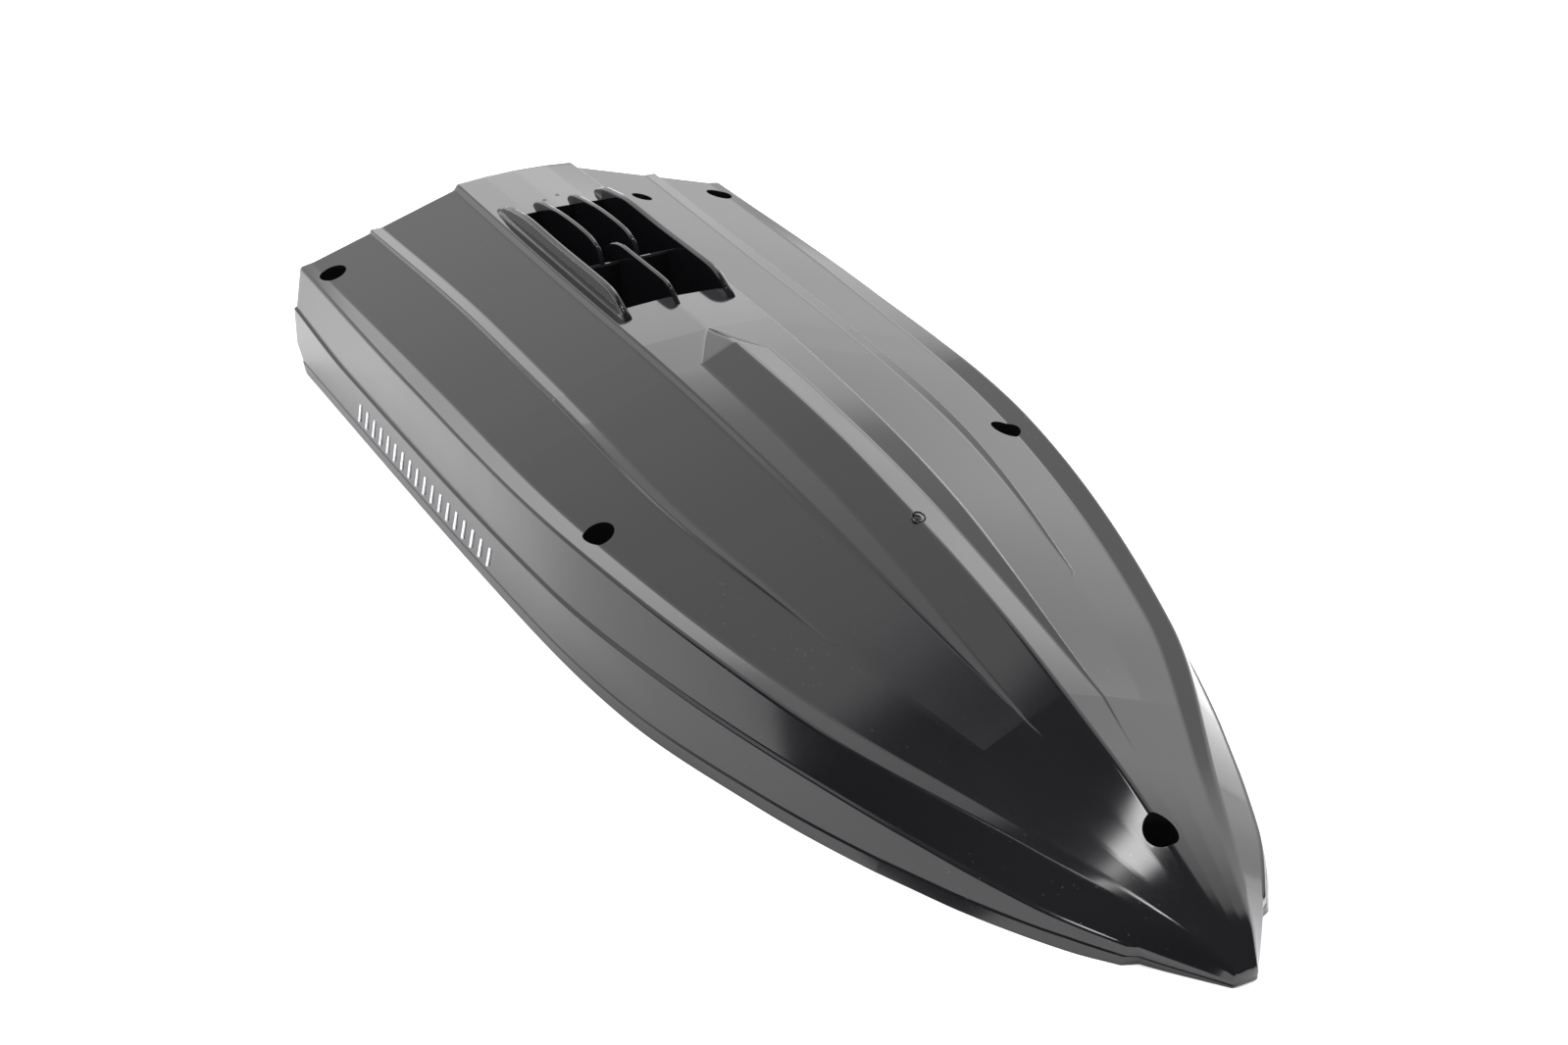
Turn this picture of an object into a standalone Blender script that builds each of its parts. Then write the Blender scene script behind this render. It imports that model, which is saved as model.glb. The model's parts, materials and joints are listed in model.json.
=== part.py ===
"""Lower hull of a small racing jet boat, keel up on its rim, with its water-jet drive and steering gear.

Stations run forward from the transom along +X, breadths along Y and heights up from the rim along +Z.
"""
import math

import bmesh
import bpy
from mathutils import Matrix, Vector

mm = 0.001

# Hull
hull_length = 300 * mm
hull_beam = 118.4 * mm
hull_depth = 38 * mm
wall = 1.8 * mm
cavity_end = 0.94
stern_cut_height = 6.6 * mm
stern_cut_length = 7.5 * mm
stern_cut_width = 12 * mm

# Planing pad and keel wedge
pad_step = 1.4 * mm
pad_bevel = 0.9 * mm
pad_crown = 0.8 * mm
pad_end = 0.813
wedge_tip = 0.348
wedge_shoulder = 0.392
wedge_half = 8.0 * mm

# Spray strakes and lower side band
strake_tip = 0.693
strake_width = 2.8 * mm
band_end = 0.953
band_ledge = 0.7 * mm

# Intake grille
grille_start = 27 * mm
grille_length = 59 * mm
grille_crossbar = 60.6 * mm
grille_crest = 5.1 * mm
grille_depth = 13 * mm
grille_knee = 70 * mm
rail_offset = 12.57 * mm
rail_thickness = 1.8 * mm
rail_overrun = 5.4 * mm
vane_offset = 4.45 * mm
vane_thickness = 1.2 * mm
vane_toe = 3.0 * mm

# Deck screw pillars: station and half-breadth
pillar_places = ((9.7 * mm, 51.3 * mm), (149.9 * mm, 47.5 * mm), (274 * mm, 0))
pillar_radius = 4.6 * mm
counterbore_radius = 3.2 * mm
pillar_foot = 6 * mm
pillar_floor = 2 * mm
pilot_radius = 1.6 * mm

# Fits
gap = 0.3 * mm
running_gap = 0.1 * mm
screw_clearance = 0.2 * mm

# Shaft line
shaft_height = 19 * mm
shaft_radius = 1.5 * mm
shaft_end = -6 * mm
bush_wall = 0.7 * mm
bush_length = 6 * mm
tube_wall = 0.7 * mm
tube_start = 62 * mm
tube_end = 91 * mm

# Jet pump
pump_bore = 9.5 * mm
pump_wall = 1.8 * mm
flange_radius = 14.9 * mm
flange_thickness = 2 * mm
flange_screw_circle = 12.9 * mm
flange_screw_angles = (-20, 60, 120, 200)
impeller_start = 8 * mm
impeller_length = 10 * mm
impeller_clearance = 0.5 * mm
impeller_hub = 3.6 * mm
blade_count = 3
blade_thickness = 1.0 * mm
outlet_radius = 5 * mm
outlet_wall = 1.2 * mm
stator_hub = 4.2 * mm
stator_vanes = 4

# Intake duct
duct_wall = 1.6 * mm
duct_bend = 44 * mm
duct_ear_station = 78 * mm
duct_ear_height = 26 * mm

# Steering
pivot_station = -9.5 * mm
steering_length = 13 * mm
steering_wall = 1.4 * mm
steering_arm = 12 * mm
arm_width = 4.4 * mm
arm_thickness = 1.6 * mm
rod_radius = 0.75 * mm
rod_height = 4.5 * mm
steering_limit = 22
servo_axis = (39.5 * mm, -24.6 * mm)
servo_size = (23 * mm, 12.2 * mm, 18 * mm)
servo_base = 11 * mm
servo_axis_inset = 6 * mm
servo_hump = 1.6 * mm
spline_radius = 2 * mm
spline_overlap = 1.2 * mm
horn_height = 7 * mm

# Motor
motor_radius = 12.2 * mm
motor_length = 31 * mm
motor_start = 113.5 * mm
motor_shaft_radius = 1.0 * mm
motor_screw_offset = 8 * mm
motor_boss_radius = 3 * mm
bell_length = 2.2 * mm
terminal_size = (3.2 * mm, 2.2 * mm, 0.6 * mm)
terminal_offset = 7 * mm
jacket_wall = 1.7 * mm
jacket_length = 24 * mm
nipple_root = 0.6 * mm
nipple_length = 4 * mm
mount_thickness = 2 * mm
mount_half = 15 * mm
mount_foot = 13 * mm
mount_foot_height = 25.7 * mm
coupling_radius = 4 * mm
coupling_length = 15 * mm

# Battery and electronics
battery_start = 156 * mm
battery_length = 68 * mm
cell_radius = 9.25 * mm
battery_base = 2 * mm
tray_thickness = 1.2 * mm
strap_width = 12 * mm
strap_thickness = 1.0 * mm
box_size = (44 * mm, 26 * mm, 12 * mm)
box_corner = (98 * mm, -50 * mm, 5 * mm)
lead_radius = 0.8 * mm

# Cooling water
inlet_place = (20 * mm, 25 * mm)
inlet_hole = 2.5 * mm
inlet_boss = 4.2 * mm
outlet_place = (34 * mm, 14 * mm)
hose_radius = 1.9 * mm
barb_radius = 1.5 * mm
outlet_stem = 2.3 * mm
water_bore = 0.9 * mm

# Small screws: shank and head
screw_radius = 1.2 * mm
head_radius = 2.3 * mm
head_height = 1.5 * mm
pivot_screw_radius = 0.8 * mm
pivot_head_radius = 1.9 * mm
set_screw_radius = 1.0 * mm
set_screw_inset = 3.6 * mm

# Hull lines: station as a share of the length, half-breadth of half the beam, height of the depth
pad_line = ((0, 0.256, 1.0), (0.2, 0.267, 1.008), (0.41, 0.258, 0.997), (0.61, 0.226, 0.879),
            (0.813, 0.14, 0.589))
keel_line = ((0.392, 0, 1.1), (0.47, 0, 1.082), (0.54, 0, 1.047), (0.61, 0, 0.982), (0.68, 0, 0.905),
             (0.75, 0, 0.8), (0.806, 0, 0.687), (0.88, 0, 0.512), (0.96, 0, 0.242), (1.0, 0, 0.08))
strake_line = ((0, 0.642, 0), (0.173, 0.617, 0), (0.347, 0.613, 0), (0.52, 0.593, 0), (0.693, 0.451, 0))
chine_line = ((0, 0.895, 0.665), (0.25, 0.885, 0.668), (0.49, 0.836, 0.616), (0.73, 0.596, 0.471),
              (0.87, 0.3, 0.33), (0.97, 0.1, 0.19), (1.0, 0.03, 0.072))
edge_line = ((0, 0.95, 0.65), (0.247, 0.965, 0.663), (0.495, 0.922, 0.639), (0.742, 0.654, 0.468),
             (0.88, 0.333, 0.3), (0.97, 0.122, 0.165), (1.0, 0.038, 0.065))
side_line = ((0, 0.98, 0.39), (0.12, 0.983, 0.33), (0.487, 0.961, 0.326), (0.63, 0.855, 0.297),
             (0.77, 0.664, 0.25), (0.903, 0.394, 0.153), (0.957, 0.218, 0.1), (1.0, 0.04, 0.035))
rim_line = ((0, 1.0, 0), (0.435, 1.0, 0), (0.6, 0.951, 0), (0.728, 0.799, 0), (0.806, 0.667, 0),
            (0.872, 0.522, 0), (0.928, 0.36, 0), (0.955, 0.253, 0))
stations = (0, 0.1, 0.2, 0.305, wedge_tip, wedge_shoulder, 0.45, 0.52, 0.59, 0.645, strake_tip, 0.75,
            pad_end, 0.86, 0.9, 0.93, band_end, band_end + 0.004, 0.978, 0.992, 1.0)

steering_bore = outlet_radius + outlet_wall + 1.4 * mm
aft_end = pivot_station - steering_length
half_span = (hull_length + aft_end) / 2
pump_outer = pump_bore + pump_wall
tube_inner = shaft_radius + running_gap + bush_wall + screw_clearance
tube_outer = tube_inner + tube_wall


# Scene and helpers

def clear_scene():
    for old in list(bpy.data.objects):
        bpy.data.objects.remove(old, do_unlink=True)


def new_collection(name):
    collection = bpy.data.collections.new(name)
    bpy.context.scene.collection.children.link(collection)
    return collection


def plastic(name, colour, roughness=0.4, metallic=0.0):
    material = bpy.data.materials.new(name)
    material.use_nodes = True
    shader = material.node_tree.nodes['Principled BSDF']
    shader.inputs['Base Color'].default_value = (*colour, 1)
    shader.inputs['Roughness'].default_value = roughness
    shader.inputs['Metallic'].default_value = metallic
    return material


def new_empty(name, place, parent=None):
    empty = bpy.data.objects.new(name, None)
    empty.empty_display_size = 5 * mm
    empty.location = place
    empty.parent = parent
    parts.objects.link(empty)
    return empty


def new_object(name, mesh, material=None, place=(0, 0, 0), turn=(0, 0, 0), parent=None):
    """A part when it has a material, otherwise a hidden tool for cutting or joining."""
    thing = bpy.data.objects.new(name, mesh)
    thing.location = place
    thing.rotation_euler = turn
    thing.parent = parent or datum
    if material:
        mesh.materials.append(material)
        parts.objects.link(thing)
    else:
        thing.hide_render = True
        thing.display_type = 'WIRE'
        cutters.objects.link(thing)
    return thing


def mesh_from(name, build):
    mesh = bpy.data.meshes.new(name)
    bm = bmesh.new()
    build(bm)
    bmesh.ops.recalc_face_normals(bm, faces=bm.faces)
    bm.to_mesh(mesh)
    bm.free()
    return mesh


def box_mesh(name, size, corner=None):
    """A box of this size, from its lowest corner or about its own centre."""
    middle = Vector(corner) + Vector(size) / 2 if corner else Vector((0, 0, 0))
    shape = Matrix.Translation(middle) @ Matrix.Diagonal((*size, 1))
    return mesh_from(name, lambda bm: bmesh.ops.create_cube(bm, size=1, matrix=shape))


def along(axis):
    """Rotation that lays a shape's own Z axis along X, Y or Z."""
    turns = {'X': Matrix.Rotation(math.pi / 2, 4, 'Y'), 'Y': Matrix.Rotation(-math.pi / 2, 4, 'X'),
             'Z': Matrix.Identity(4)}
    return turns[axis]


def rods_mesh(name, rods, segments=16):
    """Cylinders as (start point, length, radius, axis), which don't touch each other."""
    def build(bm):
        for start, length, radius, axis in rods:
            shape = Matrix.Translation(start) @ along(axis) @ Matrix.Translation((0, 0, length / 2))
            bmesh.ops.create_cone(bm, cap_ends=True, segments=segments, radius1=radius, radius2=radius,
                                  depth=length, matrix=shape)
    return mesh_from(name, build)


def turned_mesh(name, profile, closed=False):
    """A profile of (radius, distance along the axis), ready for a Screw modifier."""
    mesh = bpy.data.meshes.new(name)
    points = [(radius, 0, height) for radius, height in profile]
    edges = [(i, i + 1) for i in range(len(points) - 1)]
    if closed:
        edges.append((len(points) - 1, 0))
    mesh.from_pydata(points, edges, [])
    return mesh


def turned(name, profile, material=None, place=(0, 0, 0), axis='X', closed=False, segments=24, parent=None):
    """A turned piece whose profile runs top to bottom down its outer side."""
    thing = new_object(name, turned_mesh(name, profile, closed), material, place, parent=parent)
    thing.rotation_euler = along(axis).to_euler()
    screw = thing.modifiers.new('Turn', 'SCREW')
    screw.axis = 'Z'
    screw.steps = segments
    screw.render_steps = segments
    screw.use_merge_vertices = True
    screw.merge_threshold = 0.00001
    return thing


def ring_profile(inner, outer, start, end):
    return [(outer, end), (outer, start), (inner, start), (inner, end)]


def evaluated_mesh(thing, name):
    """The finished mesh of a curve, with its loose caps welded on."""
    graph = bpy.context.evaluated_depsgraph_get()
    graph.update()
    mesh = bpy.data.meshes.new_from_object(thing.evaluated_get(graph))
    mesh.name = name
    bm = bmesh.new()
    bm.from_mesh(mesh)
    bmesh.ops.remove_doubles(bm, verts=bm.verts, dist=0.000001)
    bmesh.ops.recalc_face_normals(bm, faces=bm.faces)
    bm.to_mesh(mesh)
    bm.free()
    mesh.materials.clear()
    return mesh


def curve_mesh(name, splines, flat_thickness=0, bevel=0):
    curve = bpy.data.curves.new(name, 'CURVE')
    curve.dimensions = '2D' if flat_thickness else '3D'
    for points in splines:
        spline = curve.splines.new('POLY')
        spline.points.add(len(points) - 1)
        for point, place in zip(spline.points, points):
            point.co = (*place, 1) if len(place) == 3 else (*place, 0, 1)
        spline.use_cyclic_u = bool(flat_thickness)
    if flat_thickness:
        curve.fill_mode = 'BOTH'
        curve.extrude = flat_thickness / 2
    else:
        curve.bevel_depth = bevel
        curve.bevel_resolution = 2
        curve.use_fill_caps = True
    guide = bpy.data.objects.new(name + '_guide', curve)
    cutters.objects.link(guide)
    mesh = evaluated_mesh(guide, name)
    bpy.data.objects.remove(guide, do_unlink=True)
    bpy.data.curves.remove(curve)
    return mesh


def plate(name, outline, thickness, material=None, place=(0, 0, 0), lies='XZ', parent=None):
    """A flat outline with this thickness about its own plane: XZ, YZ or XY."""
    turns = {'XZ': (math.pi / 2, 0, 0), 'YZ': (math.pi / 2, 0, math.pi / 2), 'XY': (0, 0, 0)}
    splines = outline if isinstance(outline[0][0], (tuple, list)) else [outline]
    mesh = curve_mesh(name, splines, flat_thickness=thickness)
    return new_object(name, mesh, material, place, turns[lies], parent)


def smooth_route(points, steps=4):
    """A smooth curve through a route's own points."""
    knots = [Vector(p) for p in points]
    knots = [2 * knots[0] - knots[1]] + knots + [2 * knots[-1] - knots[-2]]
    route = []
    for a, b, c, d in zip(knots, knots[1:], knots[2:], knots[3:]):
        for step in range(steps):
            t = step / steps
            route.append(0.5 * (2 * b + (c - a) * t + (2 * a - 5 * b + 4 * c - d) * t * t
                                + (3 * b - a - 3 * c + d) * t ** 3))
    return route + [knots[-2]]


def tube(name, points, radius, material, steps=4, parent=None):
    route = smooth_route(points, steps) if steps else [Vector(p) for p in points]
    return new_object(name, curve_mesh(name, [[tuple(p) for p in route]], bevel=radius), material,
                      parent=parent)


def combine(target, tool, operation):
    change = target.modifiers.new(operation.title(), 'BOOLEAN')
    change.operation = operation
    change.object = tool
    change.solver = 'EXACT'


def cut(target, tool):
    combine(target, tool, 'DIFFERENCE')


def join(target, tool):
    combine(target, tool, 'UNION')


def round_edges(thing, width, segments=1):
    bevel = thing.modifiers.new('Bevel', 'BEVEL')
    bevel.width = width
    bevel.segments = segments
    bevel.limit_method = 'ANGLE'


def shade(thing):
    thing.data.shade_smooth()
    thing.data.set_sharp_from_angle(angle=math.radians(35))


# Hull lines and sections

def fair(line, station):
    """Half-breadth and height of a hull line at a station, on one smooth curve."""
    station = min(max(station, line[0][0]), line[-1][0])
    count = len(line)
    right = next(i for i in range(1, count) if station <= line[i][0])
    left = right - 1
    span = line[right][0] - line[left][0]
    t = (station - line[left][0]) / span

    def slope(i, value):
        before = max(i - 1, 0)
        after = min(i + 1, count - 1)
        return (line[after][value] - line[before][value]) / (line[after][0] - line[before][0]) * span

    found = []
    for value, size in ((1, hull_beam / 2), (2, hull_depth)):
        low, high = line[left][value], line[right][value]
        share = (low * (2 * t ** 3 - 3 * t * t + 1) + high * (3 * t * t - 2 * t ** 3)
                 + slope(left, value) * (t ** 3 - 2 * t * t + t) + slope(right, value) * (t ** 3 - t * t))
        found.append(share * size)
    return found


def between(low, high, share):
    return [a + (b - a) * share for a, b in zip(low, high)]


def ridge_height(s):
    """Height of the centre line: the crowned pad, then the wedge's ridge."""
    if s <= wedge_tip:
        return fair(pad_line, s)[1] + pad_crown
    return fair(keel_line, s)[1]


def pad_foot(s):
    """Where the pad's edge wall meets the bottom panel."""
    fade = min(1, (pad_end - s) / 0.25)
    breadth, height = fair(pad_line, s)
    return [breadth + pad_bevel * max(fade, 0.2), height - pad_step * fade]


def bottom_points(s):
    """From the centre line out to the chine: wedge, pad, panel and strake."""
    centre = [0, ridge_height(s)]
    chine = fair(chine_line, s)
    if s > pad_end:
        shares = (0.3, 0.315, 0.33, 0.66, 0.68, 0.7)
        return [centre] + [between(centre, chine, share) for share in shares] + [chine]
    pad = fair(pad_line, s)
    foot = pad_foot(s)
    base = [wedge_half, pad[1] + 0.7 * pad_crown * (1 - s / pad_end)]
    if s == wedge_tip:
        base = [gap, pad[1] + pad_crown]
    if s == pad_end:
        base = between(centre, pad, 0.95)
    if s >= strake_tip:
        strake = [between(foot, chine, share) for share in (0.5, 0.52, 0.54)]
    else:
        edge = fair(strake_line, s)[0]
        width = max(strake_width * (1 - (s / strake_tip) ** 2), gap)
        inner = panel_point(foot, chine, edge - width)
        strake = [inner, [edge, inner[1]], panel_point(foot, chine, edge + gap)]
    return [centre, base, pad, foot] + strake + [chine]


def panel_point(foot, chine, breadth):
    return between(foot, chine, (breadth - foot[0]) / (chine[0] - foot[0]))


def side_points(s):
    """From the chine flat's edge down the side to the rim."""
    edge = fair(edge_line, s)
    crease = fair(side_line, s)
    if s <= band_end:
        band = [crease[0] + band_ledge, crease[1] - 0.3 * band_ledge]
        rim = [fair(rim_line, s)[0], 0]
    else:
        band = [crease[0], crease[1] * 0.9]
        rim = [crease[0] * 0.97, 0]
    return [edge, crease, band, rim]


def ring(s, points):
    """A closed section at a station from its half section, centre line first."""
    port = [Vector((s * hull_length, y, z)) for y, z in points]
    starboard = [Vector((s * hull_length, -y, z)) for y, z in points[:0:-1]]
    return starboard + port


def loft_mesh(name, rings):
    def build(bm):
        rows = [[bm.verts.new(point) for point in row] for row in rings]
        count = len(rows[0])
        for here, there in zip(rows, rows[1:]):
            for i in range(count):
                j = (i + 1) % count
                bm.faces.new((here[i], here[j], there[j], there[i]))
        bm.faces.new(rows[0])
        bm.faces.new(rows[-1])
    return mesh_from(name, build)


def cavity_points(s):
    """Half section of the hollow, a wall inside the hull's own lines, and open below the rim."""
    chine = fair(chine_line, s)
    edge = fair(edge_line, s)
    crease = fair(side_line, s)
    rim = fair(rim_line, s)[0]
    thick = 1.05 * wall
    if s <= pad_end:
        foot = pad_foot(s)
        top = [foot[0] - pad_bevel - 2 * wall, fair(pad_line, s)[1] - wall - 0.4 * pad_crown]
        middle = [0, top[1]]
        shoulder = [foot[0], foot[1] - thick]
    else:
        middle = [0, ridge_height(s) - 1.3 * wall]
        top = between(middle, [chine[0], chine[1] - 1.3 * wall], 0.3)
        shoulder = between(middle, [chine[0], chine[1] - 1.3 * wall], 0.33)
    return [middle, top, shoulder, [chine[0] - 0.3 * wall, chine[1] - thick],
            [edge[0] - 1.3 * wall, edge[1] - 1.3 * wall], [crease[0] - wall, crease[1]],
            [rim - wall, 0], [rim - wall, -5 * mm]]


def panel_height(x, y):
    """Height of the hull's outside at a place on its bottom."""
    points = bottom_points(x / hull_length)
    for inner, outer in zip(points, points[1:]):
        if inner[0] <= abs(y) <= outer[0]:
            return between(inner, outer, (abs(y) - inner[0]) / max(outer[0] - inner[0], 1e-9))[1]
    return points[-1][1]


def inside_height(x, y):
    """Height of the hollow's roof at a place."""
    points = cavity_points(x / hull_length)
    for inner, outer in zip(points, points[1:]):
        if inner[0] <= abs(y) <= outer[0]:
            return between(inner, outer, (abs(y) - inner[0]) / (outer[0] - inner[0]))[1]
    return points[3][1]


# Places shared by pieces that meet

def pillar_centres():
    centres = []
    for x, y in pillar_places:
        centres += [(x, y), (x, -y)] if y else [(x, 0)]
    return centres


def servo_screw_places():
    case_start = servo_axis[0] - servo_axis_inset
    reach = 3.0 * mm
    return [(case_start - reach, servo_axis[1]), (case_start + servo_size[0] + reach, servo_axis[1])]


duct_half = rail_offset + rail_thickness / 2 + gap + duct_wall
duct_ear_offset = duct_half + 3.6 * mm
duct_screw_places = [(duct_ear_station, side * duct_ear_offset) for side in (1, -1)]
mount_face = motor_start - gap - mount_thickness
mount_screw_places = [(mount_face - mount_foot / 2, side * 10 * mm) for side in (1, -1)]
servo_ear_height = servo_base + 6 * mm
servo_ear_thickness = 1.2 * mm
flange_screw_places = [(flange_screw_circle * math.cos(math.radians(angle)),
                        shaft_height + flange_screw_circle * math.sin(math.radians(angle)))
                       for angle in flange_screw_angles]
gland_place = (-(steering_arm - steering_arm * (1 - math.cos(math.radians(steering_limit))) / 2), rod_height)
gland_bore = rod_radius + steering_arm * (1 - math.cos(math.radians(steering_limit))) / 2 + 0.7 * mm
gland_neck = gland_bore + 0.7 * mm
pad_top = hull_depth
grille_foot = pad_top - grille_depth
grille_end = grille_start + grille_length


# Hull shell

def boss_rods():
    """Pillars and posts that the hollow leaves standing: place, foot height and radius."""
    posts = [(x, y, pillar_foot, pillar_radius) for x, y in pillar_centres()]
    posts += [(x, y, duct_ear_height + 2 * mm + gap, 2.8 * mm) for x, y in duct_screw_places]
    posts += [(x, y, servo_ear_height + servo_ear_thickness + gap, 2.4 * mm) for x, y in servo_screw_places()]
    posts += [(x, y, mount_foot_height + mount_thickness + gap, 3 * mm) for x, y in mount_screw_places]
    posts.append((*inlet_place, panel_height(*inlet_place) - 6 * mm, inlet_boss))
    return [((x, y, foot), hull_depth + 10 * mm, radius, 'Z') for x, y, foot, radius in posts]


def hull_cavity():
    shares = [wall / hull_length] + [s for s in stations if 0 < s < cavity_end] + [cavity_end]
    cavity = new_object('hull_cavity', loft_mesh('hull_cavity', [ring(s, cavity_points(s)) for s in shares]))
    cut(cavity, new_object('hull_bosses', rods_mesh('hull_bosses', boss_rods(), 12)))
    return cavity


def crest_outline(start, end, aft_rise, front_fall, foot):
    """Side view of a rail or vane: its foot, a gentle rise, a level crest and a round fall to its front."""
    crest = pad_top + grille_crest
    toe = pad_top + 1.2 * mm
    outline = list(foot)
    for step in range(4):
        angle = step / 4 * math.pi / 2
        outline.append((start + aft_rise * (1 - math.cos(angle)), toe + (crest - toe) * math.sin(angle)))
    outline.append((start + aft_rise, crest))
    for step in range(5):
        angle = step / 4 * math.pi / 2
        outline.append((end - front_fall * (1 - math.sin(angle)), toe + (crest - toe) * math.cos(angle)))
    return outline


def hanging_foot(start, aft, end, front):
    """Foot of a blade that stands on the skin at its toes and hangs into the duct between aft and front."""
    skin = pad_top - 1 * mm
    foot = []
    if end > front:
        foot += [(end, skin), (front, skin)]
    foot.append((front, grille_foot_height(front)))
    if front > grille_knee:
        foot.append((grille_knee, grille_foot_height(grille_knee)))
    foot.append((aft, grille_foot_height(aft)))
    if start < aft:
        foot += [(aft, skin), (start, skin)]
    return foot


def grille_foot_height(x):
    """Lower edge of the hanging blades, level and then rising to the front lip."""
    rise = max(0, (x - grille_knee) / (grille_end - grille_knee))
    return grille_foot + gap + rise * (grille_depth - wall - 1.2 * mm)


def grille_pieces():
    """Two rails, two aft vanes, the front vane and the crossbar between them."""
    rise = 20 * mm
    fall = 10 * mm
    aft = grille_start - 0.5 * mm
    front = grille_end + 0.5 * mm
    pieces = []
    for side in (1, -1):
        start = grille_start - 5 * mm
        end = grille_end + rail_overrun
        rail = crest_outline(start, end, rise, fall, hanging_foot(start, aft, end, front))
        pieces.append(plate('rail_tool', rail, rail_thickness, place=(0, side * rail_offset, 0)))
        start = grille_start - vane_toe
        vane = crest_outline(start, grille_crossbar, rise, 7 * mm,
                             hanging_foot(start, aft, grille_crossbar, grille_crossbar))
        pieces.append(plate('aft_vane_tool', vane, vane_thickness, place=(0, side * vane_offset, 0)))
    start = grille_crossbar - 9 * mm
    front_vane = crest_outline(start, end, 10 * mm, fall, hanging_foot(start, start, end, front))
    pieces.append(plate('front_vane_tool', front_vane, vane_thickness))
    bar = box_mesh('crossbar_tool', (vane_thickness, 2 * rail_offset, grille_depth + 0.6 * mm),
                   (grille_crossbar - vane_thickness / 2, -rail_offset, grille_foot + 0.5 * mm))
    pieces.append(new_object('crossbar_tool', bar))
    return pieces


def throat_mesh():
    return box_mesh('throat_tool', (grille_length, 2 * rail_offset, 30 * mm),
                    (grille_start, -rail_offset, grille_foot - 2 * mm))


def upright_holes():
    pilot = pillar_foot + pillar_floor + 2 * mm
    holes = [((x, y, -1 * mm), pilot, pilot_radius, 'Z') for x, y in pillar_centres()]
    hole = screw_radius + screw_clearance
    places = duct_screw_places + servo_screw_places() + mount_screw_places
    for x, y in places:
        holes.append(((x, y, 10 * mm), panel_height(x, y) - 3 * mm - 10 * mm, hole, 'Z'))
    holes.append(((*inlet_place, 20 * mm), 30 * mm, inlet_hole, 'Z'))
    return holes


def transom_holes():
    start = -2 * mm
    depth = wall + 2 * mm
    hole = screw_radius + screw_clearance
    holes = [((start, y, z), depth + 1 * mm, hole, 'X') for y, z in flange_screw_places]
    holes.append(((start, *gland_place), depth + 1 * mm, gland_neck + gap, 'X'))
    holes.append(((start, *outlet_place), depth + 1 * mm, outlet_stem + gap, 'X'))
    return holes


def stern_corner(side):
    """A block whose face slices the hull's lower corner off."""
    beam = hull_beam / 2
    low = Vector((stern_cut_length, side * beam, 0))
    high = Vector((0, side * (beam + 1 * mm), stern_cut_height))
    inner = Vector((0, side * (beam - stern_cut_width), 0))
    normal = (high - low).cross(inner - low).normalized()
    if normal.x > 0:
        normal = -normal
    size = 40 * mm
    turn = normal.to_track_quat('Z', 'Y').to_matrix().to_4x4()
    middle = (low + high + inner) / 3 + normal * size / 2
    shape = Matrix.Translation(middle) @ turn @ Matrix.Diagonal((size, size, size, 1))
    return mesh_from('stern_corner_tool', lambda bm: bmesh.ops.create_cube(bm, size=1, matrix=shape))


def make_hull():
    rings = [ring(s, bottom_points(s) + side_points(s)) for s in stations]
    hull = new_object('hull_shell', loft_mesh('hull_shell', rings), gloss_black)
    cut(hull, hull_cavity())
    cut(hull, new_object('throat_tool', throat_mesh()))
    for piece in grille_pieces():
        join(hull, piece)
    seat = pillar_foot + pillar_floor
    bores = [((x, y, seat), hull_depth, counterbore_radius, 'Z') for x, y in pillar_centres()]
    cut(hull, new_object('counterbore_tool', rods_mesh('counterbore_tool', bores, 18)))
    cut(hull, new_object('upright_hole_tool', rods_mesh('upright_hole_tool', upright_holes(), 12)))
    cut(hull, new_object('transom_hole_tool', rods_mesh('transom_hole_tool', transom_holes(), 12)))
    opening = [((-2 * mm, 0, shaft_height), wall + 3 * mm, pump_outer + gap, 'X')]
    cut(hull, new_object('pump_opening_tool', rods_mesh('pump_opening_tool', opening, 24)))
    for side in (1, -1):
        cut(hull, new_object('stern_corner_tool', stern_corner(side)))


# Jet drive

def make_duct():
    floor = shaft_height - pump_outer - gap - duct_wall
    top = pad_top - pad_step - 1.05 * wall - gap
    front = grille_end + rail_overrun + 2 * mm
    back = grille_start - 3.5 * mm
    outer = [(back, floor), (duct_bend, floor), (front, top - 1.4 * mm), (front, top), (back, top)]
    above = top + 5 * mm
    inner = [(back + 2 * mm, floor + duct_wall), (duct_bend - 0.5 * mm, floor + duct_wall),
             (front - duct_wall, top - 0.4 * mm), (front - duct_wall, above), (back + 2 * mm, above)]
    duct = plate('intake_duct', outer, 2 * duct_half, satin_black)
    for x, y in duct_screw_places:
        side = math.copysign(1, y)
        ear = box_mesh('duct_ear_tool', (7 * mm, 7.6 * mm, 2 * mm),
                       (x - 3.5 * mm, y - 3.8 * mm - side * 0.8 * mm, duct_ear_height))
        join(duct, new_object('duct_ear_tool', ear))
    boss = [((tube_start + 1 * mm, 0, shaft_height), 13 * mm, tube_outer + 2 * mm, 'X')]
    join(duct, new_object('tube_boss_tool', rods_mesh('tube_boss_tool', boss, 20)))
    cut(duct, plate('duct_hollow_tool', inner, 2 * (duct_half - duct_wall)))
    bores = [((tube_start - 12 * mm, 0, shaft_height), 40 * mm, tube_outer + screw_clearance, 'X'),
             ((back - 1 * mm, 0, shaft_height), 4 * mm, pump_outer + gap, 'X')]
    cut(duct, new_object('duct_bore_tool', rods_mesh('duct_bore_tool', bores, 24)))
    holes = [((x, y, duct_ear_height - 1 * mm), 4 * mm, screw_radius + screw_clearance, 'Z')
             for x, y in duct_screw_places]
    cut(duct, new_object('duct_ear_holes', rods_mesh('duct_ear_holes', holes, 12)))


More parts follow.
